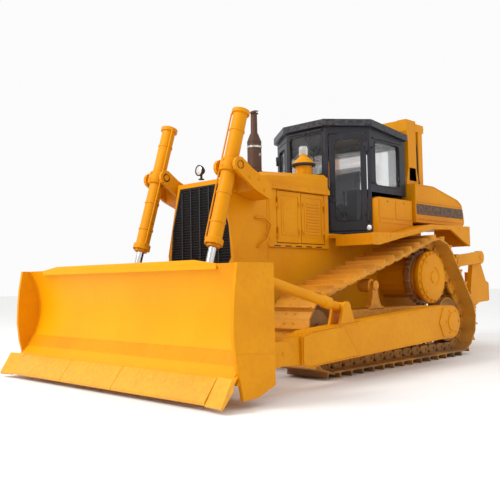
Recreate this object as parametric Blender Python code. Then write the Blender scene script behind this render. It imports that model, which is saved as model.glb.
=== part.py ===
"""Crawler bulldozer with a straight tilt blade, a cab and a three-shank rear ripper.

Metres, +X forward, +Y left, +Z up. The machine is laid out from the sprocket
axle (x = 0) and the ground (z = 0), and the empty called machine then slides it
so that the middle of its length stands over the origin.
"""

import math

import bmesh
import bpy
from mathutils import Matrix, Vector

# ---- overall layout -------------------------------------------------------------------
TRACK_HALF_GAUGE = 0.99
SHOE_WIDTH = 0.56
SHOE_COUNT = 42
SPROCKET_X = 0.0
SPROCKET_Z = 1.065
SPROCKET_BELT_RADIUS = 0.50
IDLER_BELT_RADIUS = 0.43
FRONT_IDLER_X = 2.29
REAR_IDLER_X = -0.55
GROUSER_HEIGHT = 0.055
SHOE_THICKNESS = 0.022
LINK_HEIGHT = 0.10
LINK_WIDTH = 0.19

FRAME_HALF_WIDTH = 0.48
FRAME_BOTTOM_Z = 0.52
FRAME_WALL = 0.05
CASE_REAR_X = -1.02
DECK_Z = 1.63
BAY_SILL_Z = 1.43
CAB_FRONT_X = 1.15
HOOD_REAR_X = 1.34
GUARD_REAR_X = 2.46
GUARD_FRONT_X = 3.05

BLADE_HALF_WIDTH = 1.80
BLADE_BACK_X = 3.81
BLADE_EDGE_X = 4.30
BLADE_EDGE_Z = 0.25
BLADE_TOP_Z = 1.20
EDGE_TIP_X = 4.46
EDGE_TIP_Z = 0.05
BIT_TIP_X = 4.49

ARM_Y = 1.485
ARM_WIDTH = 0.22
TRUNNION_X = 0.30
TRUNNION_Z = 0.51
ARM_BALL_X = 3.50
ARM_BALL_Z = 0.385

BEAM_REAR_X = -2.33
RIPPER_PIVOT_X = -1.12
RIPPER_PIVOT_Z = 0.757
RIPPER_ARM_DX = 0.73
RIPPER_ARM_DZ = 0.064
RIPPER_LINK_DX = -0.05
RIPPER_LINK_DZ = 0.541

# ---- clearances -----------------------------------------------------------------------
SEAT = 0.0003       # between pieces that touch
RUN = 0.010         # around doors and other moving panels
PIN_FIT = 0.0002    # added to a bore beyond its facets

# ---- colours --------------------------------------------------------------------------
YELLOW = (0.86, 0.47, 0.02, 1.0)
CAB_GREY = (0.035, 0.035, 0.055, 1.0)
BLACK = (0.012, 0.012, 0.014, 1.0)
STEEL = (0.42, 0.42, 0.43, 1.0)
GLASS = (0.55, 0.62, 0.64, 1.0)
CLOTH = (0.10, 0.10, 0.11, 1.0)
WORN = (0.25, 0.10, 0.04, 1.0)

for leftover in list(bpy.data.objects):
    bpy.data.objects.remove(leftover, do_unlink=True)

machine = bpy.data.objects.new("machine", None)
machine.location = (-(BIT_TIP_X + BEAM_REAR_X) / 2, 0, 0)
bpy.context.scene.collection.objects.link(machine)


# ---- modelling helpers ----------------------------------------------------------------
def solid_from(bm):
    """Turn a bmesh into an object with its faces pointing outwards."""
    bmesh.ops.remove_doubles(bm, verts=bm.verts, dist=1e-6)
    bmesh.ops.recalc_face_normals(bm, faces=bm.faces)
    mesh = bpy.data.meshes.new("solid")
    bm.to_mesh(mesh)
    bm.free()
    solid = bpy.data.objects.new("solid", mesh)
    bpy.context.scene.collection.objects.link(solid)
    return solid


def box(x0, x1, y0, y1, z0, z1):
    bm = bmesh.new()
    bmesh.ops.create_cube(bm, size=1.0)
    size = Matrix.Diagonal((x1 - x0, y1 - y0, z1 - z0, 1.0))
    centre = Matrix.Translation(((x0 + x1) / 2, (y0 + y1) / 2, (z0 + z1) / 2))
    bm.transform(centre @ size)
    return solid_from(bm)


def extruded(corners, offset):
    """A flat outline of 3-D corners, swept along an offset."""
    bm = bmesh.new()
    face = bm.faces.new([bm.verts.new(corner) for corner in corners])
    swept = bmesh.ops.extrude_face_region(bm, geom=[face])
    moved = [item for item in swept["geom"] if isinstance(item, bmesh.types.BMVert)]
    bmesh.ops.translate(bm, verts=moved, vec=offset)
    return solid_from(bm)


def side_plate(outline, y0, y1):
    """An outline in x and z, as thick as y0 to y1."""
    return extruded([(x, y0, z) for x, z in outline], (0, y1 - y0, 0))


def plan_plate(outline, z0, z1):
    """An outline in x and y, as tall as z0 to z1."""
    return extruded([(x, y, z0) for x, y in outline], (0, 0, z1 - z0))


def front_plate(outline, x0, x1):
    """An outline in y and z, as thick as x0 to x1."""
    return extruded([(x0, y, z) for y, z in outline], (x1 - x0, 0, 0))


def hull(points):
    bm = bmesh.new()
    for point in points:
        bm.verts.new(point)
    made = bmesh.ops.convex_hull(bm, input=bm.verts)
    spare = [item for item in made["geom_interior"] if isinstance(item, bmesh.types.BMVert)]
    bmesh.ops.delete(bm, geom=spare, context="VERTS")
    return solid_from(bm)


def axis_frame(start, direction):
    """A matrix whose Z runs along direction from start."""
    return Matrix.Translation(start) @ Vector(direction).to_track_quat("Z", "Y").to_matrix().to_4x4()


def facets(radius):
    """Sides of a round pin or bore: more on a thick one, so that its flats stay shallow."""
    if radius < 0.02:
        return 8
    if radius < 0.04:
        return 16
    return 20


def turned(profile, start, direction, sides=16):
    """Spin a profile of (radius, distance) pairs round the line from start.

    A profile that begins and ends on the line is capped flat there.
    """
    solid_core = profile[0][0] < 1e-6
    bm = bmesh.new()
    rings = []
    for radius, distance in profile[1:-1] if solid_core else profile:
        turn = 2 * math.pi / sides
        rings.append([bm.verts.new((radius * math.cos(turn * i), radius * math.sin(turn * i), distance))
                      for i in range(sides)])
    pairs = list(zip(rings, rings[1:]))
    if solid_core:
        bm.faces.new(rings[0])
        bm.faces.new(rings[-1])
    else:
        pairs.append((rings[-1], rings[0]))
    for low, high in pairs:
        for i in range(sides):
            j = (i + 1) % sides
            bm.faces.new((low[i], low[j], high[j], high[i]))
    bm.transform(axis_frame(start, direction))
    return solid_from(bm)


def rod(start, end, radius, sides=None):
    start = Vector(start)
    end = Vector(end)
    length = (end - start).length
    return turned([(0, 0), (radius, 0), (radius, length), (0, length)], start, end - start,
                  sides or facets(radius))


def ring(start, end, inner, outer, sides=16):
    start = Vector(start)
    end = Vector(end)
    length = (end - start).length
    return turned([(inner, 0), (outer, 0), (outer, length), (inner, length)], start, end - start, sides)


def bore_for(radius, sides=None):
    """The bore that lets a faceted pin of this radius turn inside it."""
    return radius / math.cos(math.pi / (sides or facets(radius))) + PIN_FIT


def beam(start, end, width, height):
    """A square bar between two points in one x-z plane, width along y."""
    start = Vector(start)
    end = Vector(end)
    along = (end - start).normalized()
    up = Vector((0, 1, 0)).cross(along) * -1
    corners = []
    for where in (start, end):
        for side in (-1, 1):
            for level in (-1, 1):
                corners.append(where + Vector((0, side * width / 2, 0)) + up * (level * height / 2))
    return hull(corners)


def combined(target, others, operation):
    for other in others:
        change = target.modifiers.new("change", "BOOLEAN")
        change.operation = operation
        change.solver = "EXACT"
        change.object = other
        depsgraph = bpy.context.evaluated_depsgraph_get()
        result = bpy.data.meshes.new_from_object(target.evaluated_get(depsgraph))
        target.modifiers.clear()
        target.data = result
        bpy.data.objects.remove(other, do_unlink=True)
    return target


def fused(*solids):
    return combined(solids[0], solids[1:], "UNION")


def cut(target, *cutters):
    return combined(target, cutters, "DIFFERENCE")


def arc(centre, radius, start_deg, end_deg, steps):
    """Points of an arc as (horizontal, vertical) pairs."""
    points = []
    for i in range(steps + 1):
        angle = math.radians(start_deg + (end_deg - start_deg) * i / steps)
        points.append((centre[0] + radius * math.cos(angle), centre[1] + radius * math.sin(angle)))
    return points


def arc_through(a, b, c, steps):
    """Points of the arc that runs from a through b to c."""
    ax, az = a
    bx, bz = b
    cx, cz = c
    d = 2 * (ax * (bz - cz) + bx * (cz - az) + cx * (az - bz))
    a2 = ax * ax + az * az
    b2 = bx * bx + bz * bz
    c2 = cx * cx + cz * cz
    ox = (a2 * (bz - cz) + b2 * (cz - az) + c2 * (az - bz)) / d
    oz = (a2 * (cx - bx) + b2 * (ax - cx) + c2 * (bx - ax)) / d
    first = math.atan2(az - oz, ax - ox)
    last = math.atan2(cz - oz, cx - ox)
    middle = math.atan2(bz - oz, bx - ox)
    sweep = (last - first) % (2 * math.pi)
    if (middle - first) % (2 * math.pi) > sweep:
        sweep -= 2 * math.pi
    radius = math.hypot(ax - ox, az - oz)
    return [(ox + radius * math.cos(first + sweep * i / steps),
             oz + radius * math.sin(first + sweep * i / steps))
            for i in range(steps + 1)]


def rounded(x0, x1, z0, z1, radius, steps=3):
    """A rectangle with rounded corners."""
    corners = (((x1 - radius, z0 + radius), -90), ((x1 - radius, z1 - radius), 0),
               ((x0 + radius, z1 - radius), 90), ((x0 + radius, z0 + radius), 180))
    points = []
    for centre, start in corners:
        points += arc(centre, radius, start, start + 90, steps)
    return points


def material(name, colour, roughness=0.45, metallic=0.0):
    paint = bpy.data.materials.get(name)
    if paint is None:
        paint = bpy.data.materials.new(name)
        paint.use_nodes = True
        shader = paint.node_tree.nodes["Principled BSDF"]
        shader.inputs["Base Color"].default_value = colour
        shader.inputs["Roughness"].default_value = roughness
        shader.inputs["Metallic"].default_value = metallic
    return paint


def paint_yellow():
    return material("yellow_paint", YELLOW, 0.35)


def paint_grey():
    return material("cab_grey_paint", CAB_GREY, 0.4)


def black():
    return material("black_plastic", BLACK, 0.5)


def chrome():
    return material("chrome", STEEL, 0.12, 1.0)


def bare_steel():
    return material("bare_steel", WORN, 0.55, 0.6)


def glass():
    return material("window_glass", GLASS, 0.05)


def place(solid, name, finish, pivot=(0, 0, 0)):
    """Name a finished solid, colour it and put its origin at its pivot."""
    solid.name = name
    solid.data.name = name
    solid.data.materials.clear()
    solid.data.materials.append(finish)
    solid.data.transform(Matrix.Translation(-Vector(pivot)))
    solid.location = pivot
    solid.parent = machine
    solid.data.shade_smooth()
    solid.data.set_sharp_from_angle(angle=math.radians(35))
    return solid


def sides():
    """The left side, then the right side."""
    return (("left", 1), ("right", -1))


def span(side, near, far):
    """The y range from near to far on one side, in rising order."""
    return min(side * near, side * far), max(side * near, side * far)


# ---- ball joints ----------------------------------------------------------------------
BALL_RADIUS = 0.065
BALL_PIN_RADIUS = 0.04
BUSH_RADIUS = 0.07
BUSH_SIDES = 24
BALL_BAND_DEG = 30
BALL_STEPS = 6
TILT_BALL_RADIUS = 0.042
TILT_BALL_NECK = 0.025


def ball_sides(radius):
    """Facets round a ball, more on a bigger one."""
    return 24 if radius > 0.05 else 20


def ball_profile(radius, half_length, neck):
    """Half of a ball on a pin, as (radius, distance) pairs along the pin."""
    edge = radius * math.sin(math.radians(BALL_BAND_DEG))
    profile = [(0, -half_length), (neck, -half_length), (neck, -edge)]
    for i in range(BALL_STEPS + 1):
        angle = math.radians(-BALL_BAND_DEG + 2 * BALL_BAND_DEG * i / BALL_STEPS)
        profile.append((radius * math.cos(angle), radius * math.sin(angle)))
    return profile + [(neck, edge), (neck, half_length), (0, half_length)]


def ball_on_pin(centre, radius, half_length, neck):
    """A ball band with a pin of radius neck through it, along y."""
    return turned(ball_profile(radius, half_length, neck), centre, (0, 1, 0), ball_sides(radius))


def ball_socket_cutter(centre, radius, half_length):
    """What is cut from an eye so that the ball of this radius swings in it."""
    step = math.radians(BALL_BAND_DEG / BALL_STEPS)
    socket = radius / (math.cos(math.pi / ball_sides(radius)) * math.cos(step)) + PIN_FIT / 2
    mouth = socket * math.cos(math.radians(BALL_BAND_DEG))
    profile = ball_profile(socket, half_length, mouth)
    del profile[-3]
    del profile[2]
    return turned(profile, centre, (0, 1, 0), ball_sides(radius))


# ---- track belt -----------------------------------------------------------------------
IDLER_Z = IDLER_BELT_RADIUS + GROUSER_HEIGHT
BELT_STEPS = 12


def belt_circles():
    """Sprocket, rear idler and front idler, in the order that the belt meets them."""
    return ((SPROCKET_X, SPROCKET_Z, SPROCKET_BELT_RADIUS),
            (REAR_IDLER_X, IDLER_Z, IDLER_BELT_RADIUS),
            (FRONT_IDLER_X, IDLER_Z, IDLER_BELT_RADIUS))


def tangent_angle(first, second):
    """Direction from a centre to where the outer tangent leaves it, counter-clockwise belt."""
    dx = second[0] - first[0]
    dz = second[1] - first[1]
    heading = math.atan2(dz, dx)
    return heading - math.acos((first[2] - second[2]) / math.hypot(dx, dz))


def belt_turn(i):
    """Where the belt meets circle i and how far it wraps round it."""
    circles = belt_circles()
    before = tangent_angle(circles[i - 1], circles[i])
    after = tangent_angle(circles[i], circles[(i + 1) % 3])
    return before, (after - before) % (2 * math.pi)


def belt_facet():
    """How far the belt's flats come inside its radius, as a share of the radius."""
    return math.cos(max(belt_turn(i)[1] for i in range(3)) / (2 * BELT_STEPS))


def belt(offset, steps=BELT_STEPS):
    """The belt's closed outline, offset outwards from the shoe surface."""
    points = []
    for i, circle in enumerate(belt_circles()):
        before, sweep = belt_turn(i)
        for k in range(steps + 1):
            angle = before + sweep * k / steps
            radius = circle[2] + offset
            points.append((circle[0] + radius * math.cos(angle), circle[1] + radius * math.sin(angle)))
    return points


def shoe_outline():
    """The belt's outer outline with a grouser bar on every shoe."""
    path = [Vector(point) for point in belt(0.0, 24)]
    lengths = [0.0]
    for i, point in enumerate(path):
        lengths.append(lengths[-1] + (path[(i + 1) % len(path)] - point).length)
    total = lengths[-1]

    def at(distance):
        distance %= total
        i = max(k for k in range(len(path)) if lengths[k] <= distance)
        step = path[(i + 1) % len(path)] - path[i]
        along = step.normalized()
        return path[i] + along * (distance - lengths[i]), Vector((along.y, -along.x))

    outline = []
    pitch = total / SHOE_COUNT
    base = 0.020
    tip = 0.010
    for shoe in range(SHOE_COUNT):
        middle = (shoe + 0.35) * pitch
        for back, height in ((-base, 0), (-tip, GROUSER_HEIGHT), (tip, GROUSER_HEIGHT), (base, 0)):
            spot, outwards = at(middle + back)
            outline.append(tuple(spot + outwards * height))
        spot, outwards = at(middle + pitch / 2)
        outline.append(tuple(spot))
    return outline


def flattened(outline):
    """The same outline, with nothing below the ground."""
    return [(x, max(z, 0.0)) for x, z in outline]


def build_tracks():
    chain_inner = -(SHOE_THICKNESS + LINK_HEIGHT)
    for name, side in sides():
        y0, y1 = span(side, TRACK_HALF_GAUGE - SHOE_WIDTH / 2, TRACK_HALF_GAUGE + SHOE_WIDTH / 2)
        shoes = cut(side_plate(flattened(shoe_outline()), y0, y1),
                    side_plate(belt(-SHOE_THICKNESS), y0 - RUN, y1 + RUN))
        y0, y1 = span(side, TRACK_HALF_GAUGE - LINK_WIDTH / 2, TRACK_HALF_GAUGE + LINK_WIDTH / 2)
        chain = cut(side_plate(belt(-SHOE_THICKNESS / 2), y0, y1),
                    side_plate(belt(chain_inner), y0 - RUN, y1 + RUN))
        place(fused(shoes, chain), "track_" + name, bare_steel())


# ---- sprockets, idlers and track frames -----------------------------------------------
CHAIN_INNER = SHOE_THICKNESS + LINK_HEIGHT
SPROCKET_TIP = (SPROCKET_BELT_RADIUS - CHAIN_INNER) * belt_facet() - SEAT
IDLER_RADIUS = (IDLER_BELT_RADIUS - CHAIN_INNER) * belt_facet() - SEAT
SPROCKET_TEETH = 25
HUB_FACE_Y = 1.20
HUB_RADIUS = 0.345
FINAL_DRIVE_END_Y = 0.88
FINAL_DRIVE_RADIUS = 0.27

FORK_INNER = 0.10
FORK_OUTER = 0.13
FORK_INSET = 0.001
FORK_Z0 = 0.42
FORK_Z1 = 0.55
ROLLER_FRAME_X0 = -0.19
ROLLER_FRAME_X1 = 1.93
ROLLER_FRAME_Z0 = 0.36
ROLLER_FRAME_Z1 = 0.70
ROLLER_RADIUS = 0.115
ROLLER_COUNT = 7
CARRIER_X = 1.24
CARRIER_RADIUS = 0.08
PIVOT_SHAFT_X = 0.30
PIVOT_SHAFT_Z = 0.53
PIVOT_SHAFT_RADIUS = 0.085


def build_wheels():
    for name, side in sides():
        # Toothed ring, then the final drive's drum and bolted dish.
        outline = []
        for tooth in range(SPROCKET_TEETH):
            for share, radius in ((0.0, 0.93), (0.5, 1.0)):
                angle = 2 * math.pi * (tooth + share) / SPROCKET_TEETH
                outline.append((SPROCKET_X + SPROCKET_TIP * radius * math.cos(angle),
                                SPROCKET_Z + SPROCKET_TIP * radius * math.sin(angle)))
        y0, y1 = span(side, TRACK_HALF_GAUGE - 0.035, TRACK_HALF_GAUGE + 0.035)
        teeth = side_plate(outline, y0, y1)
        start = FINAL_DRIVE_END_Y + SEAT
        drum = turned([(0, 0), (0.25, 0), (0.29, 0.04), (0.29, 0.18), (HUB_RADIUS, 0.23), (HUB_RADIUS, 0.28),
                       (0.31, HUB_FACE_Y - start), (0, HUB_FACE_Y - start)],
                      (SPROCKET_X, side * start, SPROCKET_Z), (0, side, 0), 24)
        place(fused(drum, teeth), "sprocket_" + name, paint_yellow(), (SPROCKET_X, 0, SPROCKET_Z))
        for label, x in (("front_idler_", FRONT_IDLER_X), ("rear_idler_", REAR_IDLER_X)):
            hub = FORK_INNER + FORK_INSET - SEAT
            wheel = turned([(0, -hub), (0.09, -hub), (0.10, -0.06), (IDLER_RADIUS, -0.08),
                            (IDLER_RADIUS, 0.08), (0.10, 0.06), (0.09, hub), (0, hub)],
                           (x, side * TRACK_HALF_GAUGE, IDLER_Z), (0, 1, 0), 24)
            place(wheel, label + name, bare_steel(), (x, side * TRACK_HALF_GAUGE, IDLER_Z))


def top_run(x, offset):
    """Height of the belt's top run at x, offset from the shoe surface."""
    circles = belt_circles()
    angle = tangent_angle(circles[2], circles[0])
    normal = Vector((math.cos(angle), math.sin(angle)))
    touch = Vector(circles[2][:2]) + normal * (circles[2][2] + offset)
    return touch.y - (x - touch.x) * normal.x / normal.y, normal


def build_track_frames():
    roller_z = GROUSER_HEIGHT + CHAIN_INNER + ROLLER_RADIUS + SEAT
    for name, side in sides():
        middle = side * TRACK_HALF_GAUGE
        y0, y1 = span(side, TRACK_HALF_GAUGE - FORK_OUTER, TRACK_HALF_GAUGE + FORK_OUTER)
        parts = [side_plate([(ROLLER_FRAME_X0, ROLLER_FRAME_Z0), (ROLLER_FRAME_X1, ROLLER_FRAME_Z0),
                             (ROLLER_FRAME_X1, ROLLER_FRAME_Z1 - 0.06),
                             (ROLLER_FRAME_X1 - 0.15, ROLLER_FRAME_Z1),
                             (0.10, ROLLER_FRAME_Z1), (ROLLER_FRAME_X0, ROLLER_FRAME_Z1 - 0.05)], y0, y1)]
        for inner, outer in ((FORK_INNER, FORK_OUTER), (-FORK_INNER, -FORK_OUTER)):
            f0, f1 = span(side, TRACK_HALF_GAUGE + inner, TRACK_HALF_GAUGE + outer)
            for frame_x, idler_x in ((ROLLER_FRAME_X1, FRONT_IDLER_X), (ROLLER_FRAME_X0, REAR_IDLER_X)):
                away = math.copysign(1, idler_x - frame_x)
                parts.append(box(min(frame_x - away * 0.2, idler_x + away * 0.08),
                                 max(frame_x - away * 0.2, idler_x + away * 0.08),
                                 f0 + FORK_INSET, f1 - FORK_INSET, FORK_Z0, FORK_Z1))
        first = ROLLER_FRAME_X0 + 0.10
        pitch = (ROLLER_FRAME_X1 - 0.10 - first) / (ROLLER_COUNT - 1)
        for i in range(ROLLER_COUNT):
            x = first + i * pitch
            parts.append(rod((x, middle - 0.10, roller_z), (x, middle + 0.10, roller_z), ROLLER_RADIUS, 14))
        # Carrier roller on its post, under the top run.
        surface, normal = top_run(CARRIER_X, -CHAIN_INNER)
        drop = CARRIER_RADIUS + SEAT
        carrier = (CARRIER_X - normal.x * drop, surface - normal.y * drop)
        parts.append(rod((carrier[0], middle - 0.10, carrier[1]), (carrier[0], middle + 0.10, carrier[1]),
                         CARRIER_RADIUS, 16))
        y0, y1 = span(side, TRACK_HALF_GAUGE + 0.05, TRACK_HALF_GAUGE + FORK_OUTER - 0.01)
        parts.append(side_plate([(carrier[0] - 0.12, ROLLER_FRAME_Z1 - 0.05),
                                 (carrier[0] + 0.10, ROLLER_FRAME_Z1 - 0.05),
                                 (carrier[0] + 0.05, 0.85), (carrier[0] + 0.05, carrier[1]),
                                 (carrier[0] - 0.05, carrier[1]), (carrier[0] - 0.06, 0.85)], y0, y1))
        # Trunnion pin, out through the push arm's eye.
        outer = TRACK_HALF_GAUGE + FORK_OUTER
        parts.append(rod((TRUNNION_X, side * (outer - 0.02), TRUNNION_Z),
                         (TRUNNION_X, side * (outer + 0.225), TRUNNION_Z), 0.13))
        if side > 0:
            profile = ball_profile(BALL_RADIUS, ARM_Y - outer - 0.02, BALL_PIN_RADIUS)
            edge = BALL_RADIUS * math.sin(math.radians(BALL_BAND_DEG))
            parts.append(turned(profile[:-2] + [(0, edge)], (TRUNNION_X, ARM_Y, TRUNNION_Z), (0, 1, 0),
                                ball_sides(BALL_RADIUS)))
        else:
            parts.append(rod((TRUNNION_X, -outer, TRUNNION_Z),
                             (TRUNNION_X, -(ARM_Y + ARM_WIDTH / 2), TRUNNION_Z),
                             BALL_PIN_RADIUS))
        place(fused(*parts), "track_frame_" + name, paint_yellow())


# ---- main frame and engine ------------------------------------------------------------
ENGINE_HALF_WIDTH = 0.30
ENGINE_TOP_Z = 1.95
ENGINE_REAR_X = 1.40
ENGINE_FRONT_X = 2.28
EQUALIZER_X = 1.75
SHEET = 0.03


def build_main_frame():
    half = FRAME_HALF_WIDTH
    nose = GUARD_REAR_X
    hull_side = side_plate([(CASE_REAR_X, 0.62), (CASE_REAR_X + 0.25, FRAME_BOTTOM_Z), (2.40, FRAME_BOTTOM_Z),
                            (2.80, 0.72), (2.85, 0.90), (2.85, 1.10), (nose - 2 * SEAT, 1.10),
                            (nose - 2 * SEAT, BAY_SILL_Z), (HOOD_REAR_X, BAY_SILL_Z), (HOOD_REAR_X, DECK_Z),
                            (CASE_REAR_X, DECK_Z)], -half, half)
    bay = box(HOOD_REAR_X + SHEET, nose - 0.02, -half + FRAME_WALL, half - FRAME_WALL,
              FRAME_BOTTOM_Z + FRAME_WALL, DECK_Z + 1)
    frame = cut(hull_side, bay)
    drive = rod((SPROCKET_X, -FINAL_DRIVE_END_Y, SPROCKET_Z), (SPROCKET_X, FINAL_DRIVE_END_Y, SPROCKET_Z),
                FINAL_DRIVE_RADIUS)
    reach = TRACK_HALF_GAUGE - FORK_OUTER - SEAT
    shaft = rod((PIVOT_SHAFT_X, -reach, PIVOT_SHAFT_Z), (PIVOT_SHAFT_X, reach, PIVOT_SHAFT_Z),
                PIVOT_SHAFT_RADIUS)
    equalizer = box(EQUALIZER_X - 0.06, EQUALIZER_X + 0.06, -reach, reach, FRAME_BOTTOM_Z - 0.09,
                    FRAME_BOTTOM_Z + 0.01)
    place(fused(frame, drive, shaft, equalizer), "main_frame", paint_yellow())
    floor = FRAME_BOTTOM_Z + FRAME_WALL + SEAT
    place(box(ENGINE_REAR_X, ENGINE_FRONT_X, -ENGINE_HALF_WIDTH, ENGINE_HALF_WIDTH, floor, ENGINE_TOP_Z),
          "engine_block", paint_yellow())


# ---- radiator guard, grille and hood --------------------------------------------------
HOOD_HALF_WIDTH = 0.50
HOOD_TOP_FRONT_Z = 2.30
HOOD_TOP_REAR_Z = 2.37
DOOR_TOP_Z = 2.09
DOOR_BOTTOM_Z = 1.49
DOOR_FRONT_X = 2.30
DOOR_SPLIT_X = 1.87
DOOR_REAR_X = 1.43
DOOR_THICKNESS = 0.025
LIFT_Y = 0.605
YOKE_X = 3.157
YOKE_Z = 2.26
YOKE_PIN_RADIUS = 0.035
YOKE_EAR_IN = 0.125
YOKE_EAR_OUT = 0.165
GRILLE_OUTLINE = ((0.33, 2.12), (0.47, 1.65), (0.50, 1.30), (0.43, 1.20))


def mirrored(points):
    """A half outline in y and z, closed over the middle."""
    return [(y, z) for y, z in points] + [(-y, z) for y, z in reversed(points)]


def lift_bracket(side):
    """The fork that carries a lift cylinder's trunnion, and its arm back to the guard."""
    y = side * LIFT_Y
    parts = []
    for near, far in ((-YOKE_EAR_OUT, -YOKE_EAR_IN), (YOKE_EAR_IN, YOKE_EAR_OUT)):
        outline = [(2.66, 2.00), (2.72, 1.93), (2.95, 2.02), (YOKE_X + 0.03, YOKE_Z - 0.08)]
        outline += arc((YOKE_X, YOKE_Z), 0.085, -70, 110, 6)
        outline += [(2.98, 2.24), (2.72, 2.12)]
        plate = side_plate(outline, y + near, y + far)
        parts.append(plate)
    parts.append(side_plate([(2.66, 2.00), (2.72, 1.93), (2.93, 2.01), (2.95, 2.215), (2.72, 2.12)],
                            y - YOKE_EAR_OUT + 0.001, y + YOKE_EAR_OUT - 0.001))
    return parts


def build_radiator_guard():
    def shell(rear_x, front_x, inset, top_drop):
        points = []
        for side in (-1, 1):
            points += [(rear_x, side * (HOOD_HALF_WIDTH - inset), 1.11 + inset),
                       (rear_x, side * (HOOD_HALF_WIDTH - inset), 2.25 - top_drop),
                       (rear_x, side * (HOOD_HALF_WIDTH - inset - 0.06), HOOD_TOP_FRONT_Z - top_drop),
                       (front_x, side * (0.36 - inset), 2.17 - top_drop),
                       (front_x, side * (0.55 - inset), 1.36),
                       (front_x, side * (0.53 - inset), 1.11 + inset)]
        return hull(points)

    outer = shell(GUARD_REAR_X, GUARD_FRONT_X, 0.0, 0.0)
    inner = shell(GUARD_REAR_X - 0.05, GUARD_FRONT_X - 0.06, 0.045, 0.045)
    mouth = front_plate(mirrored(GRILLE_OUTLINE), GUARD_FRONT_X - 0.03, GUARD_FRONT_X + 0.10)
    throat = front_plate(mirrored([(y - 0.05, z + (0.05 if z < 1.4 else -0.06)) for y, z in GRILLE_OUTLINE]),
                         GUARD_FRONT_X - 0.20, GUARD_FRONT_X + 0.10)
    guard = cut(outer, inner, mouth, throat)
    brackets = lift_bracket(1) + lift_bracket(-1)
    guard = fused(guard, *brackets)
    bore = bore_for(YOKE_PIN_RADIUS)
    for side in (-1, 1):
        y = side * LIFT_Y
        guard = cut(guard, rod((YOKE_X, y - 0.3, YOKE_Z), (YOKE_X, y + 0.3, YOKE_Z), bore))
    # Feet down on to the frame's nose.
    foot = box(GUARD_REAR_X + 0.02, 2.83, -FRAME_HALF_WIDTH + 0.02, FRAME_HALF_WIDTH - 0.02, 1.10 + SEAT,
               1.16)
    place(fused(guard, foot), "radiator_guard", paint_yellow())
    pane = [(y - SEAT, z - math.copysign(SEAT, z - 1.5)) for y, z in GRILLE_OUTLINE]
    place(front_plate(mirrored(pane), GUARD_FRONT_X - 0.03 + SEAT, GUARD_FRONT_X - 0.008),
          "radiator_grille", black())


def hood_top(x):
    share = (x - HOOD_REAR_X) / (GUARD_REAR_X - HOOD_REAR_X)
    return HOOD_TOP_REAR_Z + (HOOD_TOP_FRONT_Z - HOOD_TOP_REAR_Z) * share


KNUCKLE_RADIUS = 0.014
KNUCKLE_LENGTH = 0.06


def knuckle(axis_x, axis_y, z, towards, moving):
    """Half of a hinge: a barrel on the axis and the strap that holds it."""
    low = z + (SEAT if moving else -KNUCKLE_LENGTH)
    high = low + KNUCKLE_LENGTH - (SEAT if moving else 0)
    barrel = rod((axis_x, axis_y, low), (axis_x, axis_y, high), KNUCKLE_RADIUS)
    to = Vector(towards) - Vector((axis_x, axis_y))
    across = Vector((-to.y, to.x)).normalized() * 0.008
    base = Vector((axis_x, axis_y))
    corners = [base - across, base + across, base + to + across, base + to - across]
    strap = plan_plate([tuple(corner) for corner in corners], low + 0.004, high - 0.004)
    return [barrel, strap]


HINGE_OUT = 0.018


def engine_door_hinges():
    """(name, side, hinge x, far x) of the four engine doors."""
    rows = []
    for name, side in sides():
        rows.append(("engine_door_front_" + name, side, DOOR_FRONT_X, DOOR_SPLIT_X + RUN / 2))
        rows.append(("engine_door_rear_" + name, side, DOOR_REAR_X, DOOR_SPLIT_X - RUN / 2))
    return rows


HINGE_LEVELS = (1.60, 1.95)


def build_hood():
    front = GUARD_REAR_X - SEAT
    rear = HOOD_REAR_X
    half = HOOD_HALF_WIDTH
    outer = hull([(x, side * y, z) for side in (-1, 1)
                  for x, y, z in ((front, half, BAY_SILL_Z + SEAT), (rear, half, BAY_SILL_Z + SEAT),
                                  (front, half, hood_top(front) - 0.05), (rear, half, hood_top(rear) - 0.05),
                                  (front, half - 0.06, hood_top(front)),
                                  (rear, half - 0.06, hood_top(rear)))])
    inner = hull([(x, side * y, z) for side in (-1, 1)
                  for x, y, z in ((front + 0.05, half - 0.045, 1.40), (rear + SHEET, half - 0.045, 1.40),
                                  (front + 0.05, half - 0.045, hood_top(front) - 0.075),
                                  (rear + SHEET, half - 0.045, hood_top(rear) - 0.075),
                                  (front + 0.05, half - 0.085, hood_top(front) - 0.03),
                                  (rear + SHEET, half - 0.085, hood_top(rear) - 0.03))])
    hood = cut(outer, inner)
    for side in (-1, 1):
        y0, y1 = span(side, half - 0.10, half + 0.10)
        hood = cut(hood, box(DOOR_REAR_X - RUN, DOOR_FRONT_X + RUN, y0, y1, DOOR_BOTTOM_Z - RUN,
                             DOOR_TOP_Z + RUN))
    # A rail overhangs the doors on each side, and a post stands where the leaves meet.
    parts = []
    for side in (-1, 1):
        y0, y1 = span(side, half - 0.02, half + 0.035)
        parts.append(box(rear + 0.003, front - 0.003, y0, y1, DOOR_TOP_Z + RUN + 0.004, 2.16))
        y0, y1 = span(side, half - 0.044, half - DOOR_THICKNESS - 0.006)
        parts.append(box(DOOR_SPLIT_X - 0.03, DOOR_SPLIT_X + 0.03, y0, y1, 1.44, 2.15))
    for _, side, hinge_x, far_x in engine_door_hinges():
        away = math.copysign(1, hinge_x - far_x)
        for z in HINGE_LEVELS:
            parts += knuckle(hinge_x, side * (half + HINGE_OUT), z,
                             (hinge_x + away * 0.03, side * (half - 0.004)), False)
    place(fused(hood, *parts), "hood", paint_yellow())


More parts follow.
